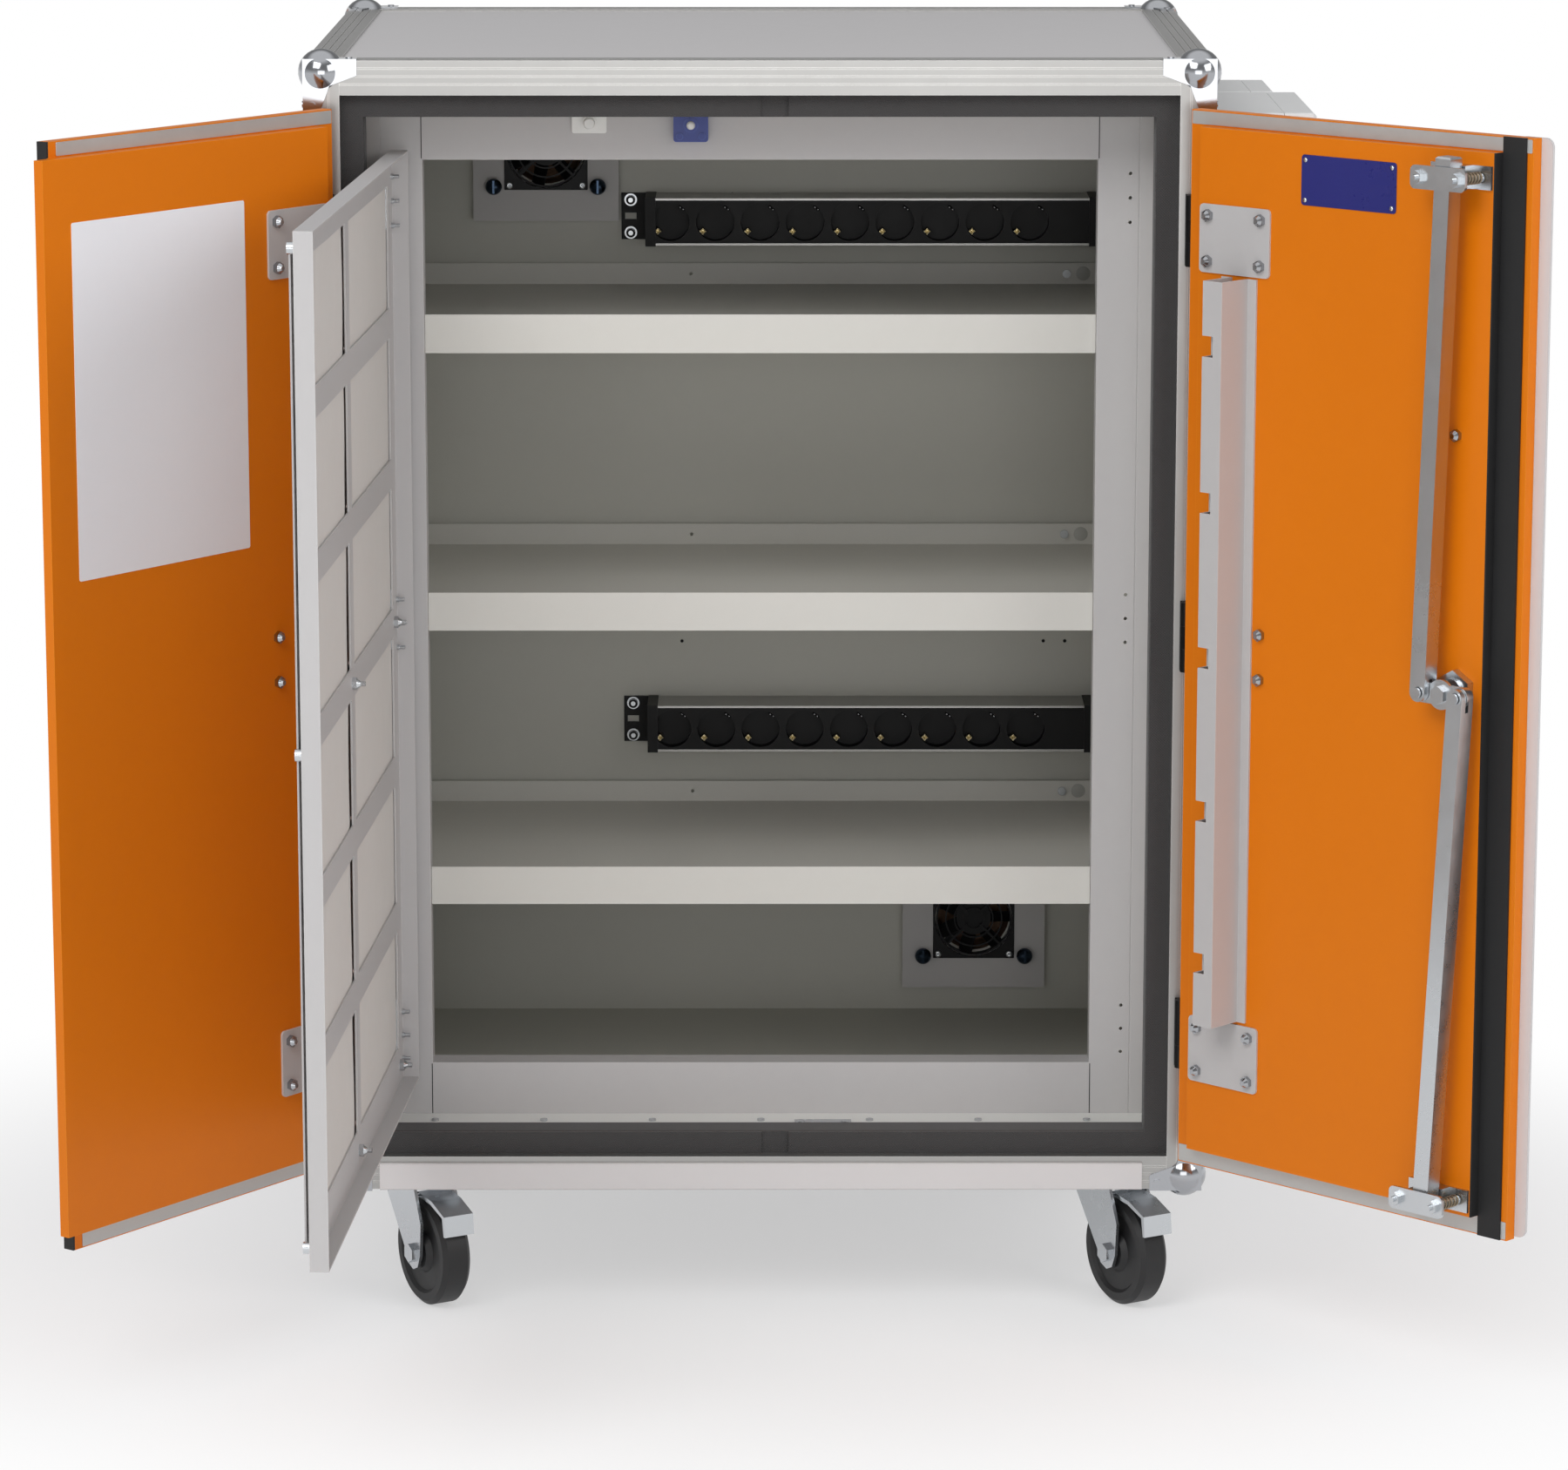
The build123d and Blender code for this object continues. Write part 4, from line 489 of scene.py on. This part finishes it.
def turned_piece(name, centres, profile, look, body, sides=20):
    """One button turned about the depth axis at each centre, in millimetres.

    profile is (radius, depth) from the back of the button to its middle, and the points are
    radius times the cosine and sine of the angle, as one array over centre, ring and angle.
    """
    angle = np.linspace(0, 2 * math.pi, sides, endpoint=False)
    rim = np.array(profile, dtype=float)
    ring = np.stack([rim[:, :1] * np.cos(angle), np.repeat(rim[:, 1:], sides, axis=1),
                     rim[:, :1] * np.sin(angle)], axis=2)
    points = (np.array(centres, dtype=float)[:, None, None] + ring[None]) * MM
    index = np.arange(len(rim) * sides).reshape(len(rim), sides)
    ahead = np.roll(index, -1, axis=1)
    quads = np.stack([index[:-1], index[1:], ahead[1:], ahead[:-1]], axis=2).reshape(-1, 4)
    every = (quads[None] + np.arange(len(centres))[:, None, None] * index.size).reshape(-1, 4)
    return shell_piece(name, points.reshape(-1, 3), every.tolist(), look, body)


# %% [markdown]
# ## Filter fleece
#
# Twelve pads of fleece sit between the filter door's sheet and its cover grid. Real fleece
# swells a little through each window and sinks away where it is cut short, which leaves a
# dark gap beside the middle bar. Each pad is a closed shell: a front and a back surface over
# the same grid, whose distance falls to nothing at the rim.

# %% The windows of the filter door
SPAN_X = (-317.0, 311.0)
SPAN_Z = (210.0, 1065.0)
STILE, MIDDLE, BAR, FOOT, HEAD = 33.0, 22.0, 26.7, 36.2, 28.8
PAD_MIDDLE, PAD_LAP = 76.0, 6.0
window_wide = (SPAN_X[1] - SPAN_X[0] - 2 * STILE - MIDDLE) / 2
window_tall = (SPAN_Z[1] - SPAN_Z[0] - FOOT - HEAD - 5 * BAR) / 6
print("window", round(window_wide, 1), "by", round(window_tall, 1), "mm")


# %% Pads
def fleece_pad(column, row):
    """Half thickness = rim rounding x (1.9 + crown), less a dip on the side of the middle bar."""
    number = column * 6 + row
    x = SPAN_X[0] + STILE + window_wide / 2 + column * (window_wide + MIDDLE)
    z = SPAN_Z[0] + FOOT + window_tall / 2 + row * (window_tall + BAR)
    across, along = np.meshgrid(np.linspace(-1, 1, 49), np.linspace(-1, 1, 33), indexing="ij")
    rim = np.sqrt((1 - np.abs(across) ** 14) * (1 - np.abs(along) ** 14))
    crown = (1 - across ** 2) * (1 - along ** 2)
    ripple = 0.3 * np.sin(8 * across + number) * np.cos(2 * along + 2 * number) * crown
    inner = across if column == 0 else -across
    dip = np.clip((inner - 0.86) / 0.08, 0, 1) * (0.75 + 0.25 * np.sin(2.5 * along + number))
    back = 1.9 + 0.9 * crown + ripple - 2.6 * dip
    front = 1.9 + 0.9 * crown
    xs = x + across * (window_wide / 2 + PAD_LAP)
    zs = z + along * (window_tall / 2 + PAD_LAP)
    near = np.stack([xs, PAD_MIDDLE - rim * front, zs], axis=2)
    far = np.stack([xs, PAD_MIDDLE + rim * back, zs], axis=2)[:, ::-1]
    shell = np.concatenate([near, far], axis=1) * MM
    made = grid_piece(f"fleece_{number + 1}", shell, "fleece", "filter_door", close_v=True)
    return made


pads = [fleece_pad(column, row) for column in (0, 1) for row in range(6)]
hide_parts("filter_mats")
print("pads:", len(pads))

# %% [markdown]
# ## Springs of the rod guides
#
# Each guide has two studs with a coil spring that presses the strap on the rod. The coil is a
# helix: the radius times cosine and sine of the angle, with the depth rising evenly.

# %% Springs
LOCK_X, LOCK_Z = 52.0, 639.0
GUIDE_X = LOCK_X + 5.0
GUIDE_RISE = {"upper": 439.0, "lower": -446.0}
STUD_SHIFT = (-18.0, 22.0)
COIL_RADIUS, COIL_TURNS, COIL_POINTS, COIL_DEPTH = 4.5, 6.5, 140, (26.9, 53.4)
WIRE_RADIUS = 0.8 * MM
for label, rise in GUIDE_RISE.items():
    for number, shift in enumerate(STUD_SHIFT):
        turn = np.linspace(0, 2 * math.pi * COIL_TURNS, COIL_POINTS)
        depth = np.linspace(*COIL_DEPTH, COIL_POINTS)
        coil = np.stack([GUIDE_X + shift + COIL_RADIUS * np.cos(turn), depth,
                         LOCK_Z + rise + COIL_RADIUS * np.sin(turn)], axis=1) * MM
        wire(f"spring_{label}_{number + 1}", coil, WIRE_RADIUS, "spring", "right_door")
print("springs: 4")

# %% [markdown]
# ## Small metal: contacts, screws and earth points
#
# Inside every socket two contacts catch the light low on one side and high on the other. They
# are buttons and small clips on the floor of each well. Screws are turned profiles.

# %% Socket contacts
STRIP_Z = (959.0, 464.0)
WELL_FLOOR = 461.0
SOCKET_FIRST, SOCKET_PITCH, SOCKET_COUNT = -87.0, 43.0, 9
places = [(SOCKET_FIRST + SOCKET_PITCH * step, z) for z in STRIP_Z for step in range(SOCKET_COUNT)]
PIN_PLACES = ((9.5, 13.5), (12.5, 11.5))
dome = [(0.0, 0.0), (1.5, 0.0), (1.5, -9.8), (0.9, -10.6), (0.0, -10.9)]
earth_pins = [(x + shift, WELL_FLOOR, z + rise) for x, z in places for shift, rise in PIN_PLACES]
turned_piece("socket_pins", earth_pins, dome, "chrome", "cabinet", 10)
clip = [(0.0, 0.0), (3.6, 0.0), (3.6, -12.0), (2.6, -12.0), (2.6, -0.8), (0.0, -0.8)]
clips = [(x - 12.0, WELL_FLOOR, z - 9.5) for x, z in places]
turned_piece("socket_clips", clips, clip, "brass", "cabinet", 4)
print("sockets:", len(places))

# %% Screws and plain discs
EAR_FACE = 497.0
BOLT_X, BOLT_RISE = (-126.0, 339.0), 15.9
bolts = [(x, EAR_FACE - 1.2, z + side * BOLT_RISE) for z in STRIP_Z for x in BOLT_X for side in (-1, 1)]
head = [(4.55, 0.0), (4.55, -3.7), (4.1, -4.25), (2.3, -4.25), (2.3, -2.4), (0.0, -2.4)]
turned_piece("bolt_heads", bolts, head, "black", "cabinet")
TRAY_TOPS = (914.0, 659.0, 403.0)
disc_shape = [(0.0, 0.0), (6.8, 0.0), (6.8, -0.35), (6.5, -0.5), (0.0, -0.5)]
turned_piece("earth_discs", [(311.0, 489.5, top - 10.0) for top in TRAY_TOPS], disc_shape, "disc",
             "cabinet")
plate_screws = [(x, 23.8, z) for x in (133.5, 228.0) for z in (1044.5, 1079.0)]
small = [(0.0, 0.0), (2.2, 0.0), (2.0, 0.9), (0.0, 1.2)]
turned_piece("plate_screws", plate_screws, small, "zinc", "right_door", 12)
print("screws and discs:", len(bolts) + len(TRAY_TOPS) + len(plate_screws))

# %% Fan faces and their screws
FAN_FACE = 482.0
FANS = ((-207.0, 1026.0), (209.0, 266.0))
BEZEL_FACE, BEZEL_HALF, BEZEL_ROUND, BEZEL_BORE = FAN_FACE - 2.4, 40.0, 4.0, 38.0
BEZEL_POINTS, BEZEL_SOFT = 96, 0.5
SCREW_X, SCREW_Z = 35.0, 35.5
CORNER_STRETCH = 1.12
DIAGONAL = 0.7072


def bezel(name, x, z):
    """The fan's square moulded face: a square outline and a round bore, as a closed ring.

    The outline is the ray at each angle cut off at the core square, moved outwards by the
    corner radius and cut off at the full square.
    """
    half_step = math.pi / BEZEL_POINTS
    angle = np.linspace(0, 2 * math.pi, BEZEL_POINTS, endpoint=False) + half_step
    turn = np.stack([np.cos(angle), np.sin(angle)], axis=1)
    longest = np.abs(turn).max(axis=1)[:, None]
    core = BEZEL_HALF - BEZEL_ROUND
    outer = np.clip(CORNER_STRETCH * core * turn / longest, -core, core)
    outer += BEZEL_ROUND * turn / np.maximum(longest, DIAGONAL)
    outer = np.clip(outer, -BEZEL_HALF, BEZEL_HALF)
    inner = BEZEL_BORE * turn
    back, soft = FAN_FACE - 0.1, BEZEL_FACE + BEZEL_SOFT
    section = ((outer, 0.0, back), (outer, 0.0, soft), (outer, BEZEL_SOFT, BEZEL_FACE),
               (inner, -BEZEL_SOFT, BEZEL_FACE), (inner, 0.0, soft), (inner, 0.0, back))
    rings = []
    for flat, shrink, depth in section:
        at = flat - shrink * turn
        rings.append(np.stack([x + at[:, 0], np.full(len(at), depth), z + at[:, 1]], axis=1) * MM)
    return grid_piece(name, np.stack(rings, axis=1), "black", "cabinet", True, True, False)


for label, (x, z) in zip(("upper", "lower"), FANS):
    bezel(f"fan_bezel_{label}", x, z)
screw = [(0.0, 0.0), (3.4, 0.0), (3.4, -1.2), (2.6, -2.2), (1.0, -2.5), (0.9, -1.6), (0.0, -1.6)]
fan_screws = [(x + sx * SCREW_X, BEZEL_FACE + 0.2, z + sz * SCREW_Z)
              for x, z in FANS for sx in (-1, 1) for sz in (-1, 1)]
turned_piece("fan_screws", fan_screws, screw, "zinc", "cabinet")
print("fan faces:", len(FANS), "with", len(fan_screws), "screws")

# %% Black lining of the doorway's lip
LIP_HALF, LIP_LOW, LIP_HIGH, LIP_Y, LIP_SHEET = 349.5, 176.5, 1101.5, (15.2, 43.8), 0.4


def lip_ring(inset, y):
    """The four corners of the doorway, drawn in by inset, at depth y."""
    low, high, half = LIP_LOW + inset, LIP_HIGH - inset, LIP_HALF - inset
    return [(-half, y, low), (half, y, low), (half, y, high), (-half, y, high)]


lip = np.array([lip_ring(0.02, LIP_Y[0]), lip_ring(LIP_SHEET, LIP_Y[0]), lip_ring(LIP_SHEET, LIP_Y[1]),
                lip_ring(0.02, LIP_Y[1])]) * MM
grid_piece("lip_lining", lip.transpose(1, 0, 2), "seal", "cabinet", True, True, False)
print("lip lining:", LIP_SHEET, "mm")

# %% Seams where header and footer meet the posts, drawn as thin strips of painted shade
SEAM_Y, SEAM_X = (95.85, 96.0), (303.4, 304.2)
SEAM_Z = {"low": (171.5, 219.0), "high": (1056.0, 1103.5)}
for hand, side in (("left", -1), ("right", 1)):
    for label, z in SEAM_Z.items():
        x = sorted(side * edge for edge in SEAM_X)
        plate_piece(f"seam_shade_{label}_{hand}", x, SEAM_Y, z, 0.1, "painted_shade", "cabinet", 0.00002)
print("seams:", 2 * len(SEAM_Z))

# %% Small holes in the back wall, drawn as thin near-black discs of painted shade
painted_shade = [(0.0, 0.0), (1.7, 0.0), (1.7, -0.15), (0.0, -0.15)]
WALL_FACE = 499.9
pit_places = [(-78.0, 1049.0), (-28.0, 980.0), (276.0, 1049.0), (297.0, 1049.0), (-28.0, 560.0),
              (-78.0, 541.0), (276.0, 541.0), (297.0, 541.0), (-28.0, 481.0), (-28.0, 471.0)]
hole_shades = [(x, WALL_FACE, z) for x, z in pit_places]
turned_piece("wall_hole_shades", hole_shades, painted_shade, "painted_shade", "cabinet", 10)
print("pits:", len(hole_shades))

# %% [markdown]
# ## Galvanised strips in the door rebates
#
# Above and below each door's core a folded metal strip shows on the back of the skin.

# %% Strips
SKIN_LOW, SKIN_HIGH, CORE_LOW, CORE_HIGH = 161.5, 1112.5, 179.0, 1099.0
for label, x in (("left", (-366.0, -19.0)), ("right", (-4.0, 366.0))):
    for place, z in (("low", (SKIN_LOW + 1, CORE_LOW - 1)), ("high", (CORE_HIGH + 1, SKIN_HIGH - 1))):
        plate_piece(f"rebate_{label}_{place}", x, (11.0, 11.6), z, 1.0, "galvanised", f"{label}_door",
                    0.0002)
print("rebate strips: 4")

# %% [markdown]
# ## Blank plates
#
# The left door carries a plain white sheet and the right door a plain blue plate.

# %% Sheet and plate on the doors
CORE_FACE = 23.0
notice = plate_piece("notice_sheet", (-237.0, -22.5), (CORE_FACE, CORE_FACE + 0.4), (743.0, 1045.0), 2.0,
                     "paper", "left_door", 0.0001)
blue_plate = plate_piece("blank_plate", (129.0, 232.5), (CORE_FACE, CORE_FACE + 0.8), (1040.0, 1083.5), 3.0,
                         "navy", "right_door", 0.0002)
print("plates:", notice.name, blue_plate.name)

# %% Camera
WIDE_PX = 1800.0
FOCAL_PX = 6820.0
RAISE = 0.0012
HORIZON_PX = -512.0
HIGH_PX = 1688.0
camera_data = bpy.data.cameras.new("camera")
camera = bpy.data.objects.new("camera", camera_data)
bpy.context.scene.collection.objects.link(camera)
bpy.context.scene.camera = camera
camera_data.sensor_width = 36.0
camera_data.lens = FOCAL_PX / WIDE_PX * camera_data.sensor_width
camera_data.clip_end = 100.0
camera.location = (0.0127, -5.225, 1.607)
LEVEL_PX = 6733.0
pitch = math.atan((HIGH_PX / 2 - HORIZON_PX) / LEVEL_PX) + RAISE
yaw = math.atan((WIDE_PX / 2 - 889.0) / FOCAL_PX)
camera.rotation_euler = (math.pi / 2 - pitch, 0, -yaw)
print("camera pitch", round(math.degrees(pitch), 2))

# %% Floor, world and lights
def area(name, place, aim, size, power, tone=(1.0, 1.0, 1.0)):
    """A soft rectangular lamp that looks at a point."""
    data = bpy.data.lights.new(name, "AREA")
    data.shape = "RECTANGLE"
    data.size, data.size_y = size
    data.energy = power
    data.color = tone
    lamp = bpy.data.objects.new(name, data)
    lamp.location = place
    lamp.rotation_euler = (Vector(aim) - Vector(place)).to_track_quat("-Z", "Y").to_euler()
    bpy.context.scene.collection.objects.link(lamp)
    return lamp


floor_mesh = bpy.data.meshes.new("floor")
REACH = 30.0
floor_corners = [(-REACH, -REACH, 0), (REACH, -REACH, 0), (REACH, REACH, 0), (-REACH, REACH, 0)]
floor_mesh.from_pydata(floor_corners, [], [(0, 1, 2, 3)])
floor = bpy.data.objects.new("floor", floor_mesh)
bpy.context.scene.collection.objects.link(floor)
floor_look = finish_material("floor", shade(252, 252, 252), shade(253, 253, 253), (0.8, 0.9),
                             ("grain", {"Scale": 40.0, "Height": 0.0}), specular=0.1)
floor_mesh.materials.append(floor_look)

# The floor turns to plain white with distance, for the camera and for reflections.
tree = floor_look.node_tree
surface = tree.nodes["Material Output"].inputs["Surface"]
place = add(tree, "ShaderNodeTexCoord").outputs["Object"]
offset = add(tree, "ShaderNodeVectorMath", {"operation": "SUBTRACT"}, {1: (0.0, 0.3, 0.0)}, {0: place})
oval = add(tree, "ShaderNodeVectorMath", {"operation": "MULTIPLY"}, {1: (1.0, 1.2, 1.0)},
           {0: offset.outputs[0]})
away = add(tree, "ShaderNodeVectorMath", {"operation": "LENGTH"}, links={0: oval.outputs[0]})
fade = add(tree, "ShaderNodeMapRange", {"interpolation_type": "SMOOTHSTEP"},
           {1: 0.5, 2: 1.25, 3: 0.45, 4: 1.0}, {0: away.outputs["Value"]})
path = add(tree, "ShaderNodeLightPath")
rays = maths(tree, "MAXIMUM", path.outputs["Is Camera Ray"], path.outputs["Is Glossy Ray"])
rays = maths(tree, "MAXIMUM", rays, path.outputs["Is Transmission Ray"])
white = add(tree, "ShaderNodeEmission", values={"Strength": 1.0})
blend = add(tree, "ShaderNodeMixShader", links={0: maths(tree, "MULTIPLY", fade.outputs[0], rays),
                                                1: tree.nodes["Principled BSDF"].outputs[0],
                                                2: white.outputs[0]})
tree.links.new(blend.outputs[0], surface)

world = bpy.data.worlds.new("world")
bpy.context.scene.world = world
world.use_nodes = True
tree = world.node_tree
seen = tree.nodes["Background"]
seen.inputs[0].default_value = (1.0, 1.0, 1.0, 1.0)
seen.inputs[1].default_value = 1.0

# Bright metal reflects a room: a grey band between the horizon and the lamps overhead.
room = add(tree, "ShaderNodeBackground")
height = add(tree, "ShaderNodeSeparateXYZ", links={0: add(tree, "ShaderNodeTexCoord").outputs["Generated"]})
bands = add(tree, "ShaderNodeValToRGB", links={0: height.outputs[2]})
for place, level in ((0.22, 0.32), (0.62, 0.30), (0.85, 1.0)):
    bands.color_ramp.elements.new(place).color = (level, level, level, 1.0)
bands.color_ramp.elements[0].color = (0.8, 0.8, 0.8, 1.0)
tree.links.new(bands.outputs[0], room.inputs[0])
fill = add(tree, "ShaderNodeBackground")
fill.inputs[0].default_value = (0.93, 0.95, 1.0, 1.0)
fill.inputs[1].default_value = 0.45
path = add(tree, "ShaderNodeLightPath")
either = maths(tree, "MAXIMUM", path.outputs["Is Camera Ray"], path.outputs["Is Transmission Ray"])
bright = add(tree, "ShaderNodeMixShader", links={0: path.outputs["Is Glossy Ray"], 1: fill.outputs[0],
                                                 2: room.outputs[0]})
mix = add(tree, "ShaderNodeMixShader", links={0: either, 1: bright.outputs[0], 2: seen.outputs[0]})
tree.links.new(mix.outputs[0], tree.nodes["World Output"].inputs["Surface"])

area("key", (-1.6, -3.2, 3.6), (0.0, 0.2, 0.5), (2.4, 2.0), 75.0)
area("side", (3.0, -2.6, 2.6), (0.1, 0.1, 0.6), (2.0, 2.0), 45.0)
area("front", (0.0, -5.0, 1.2), (0.0, 0.2, 0.6), (3.0, 1.6), 30.0)
bpy.context.scene.view_settings.view_transform = "Standard"
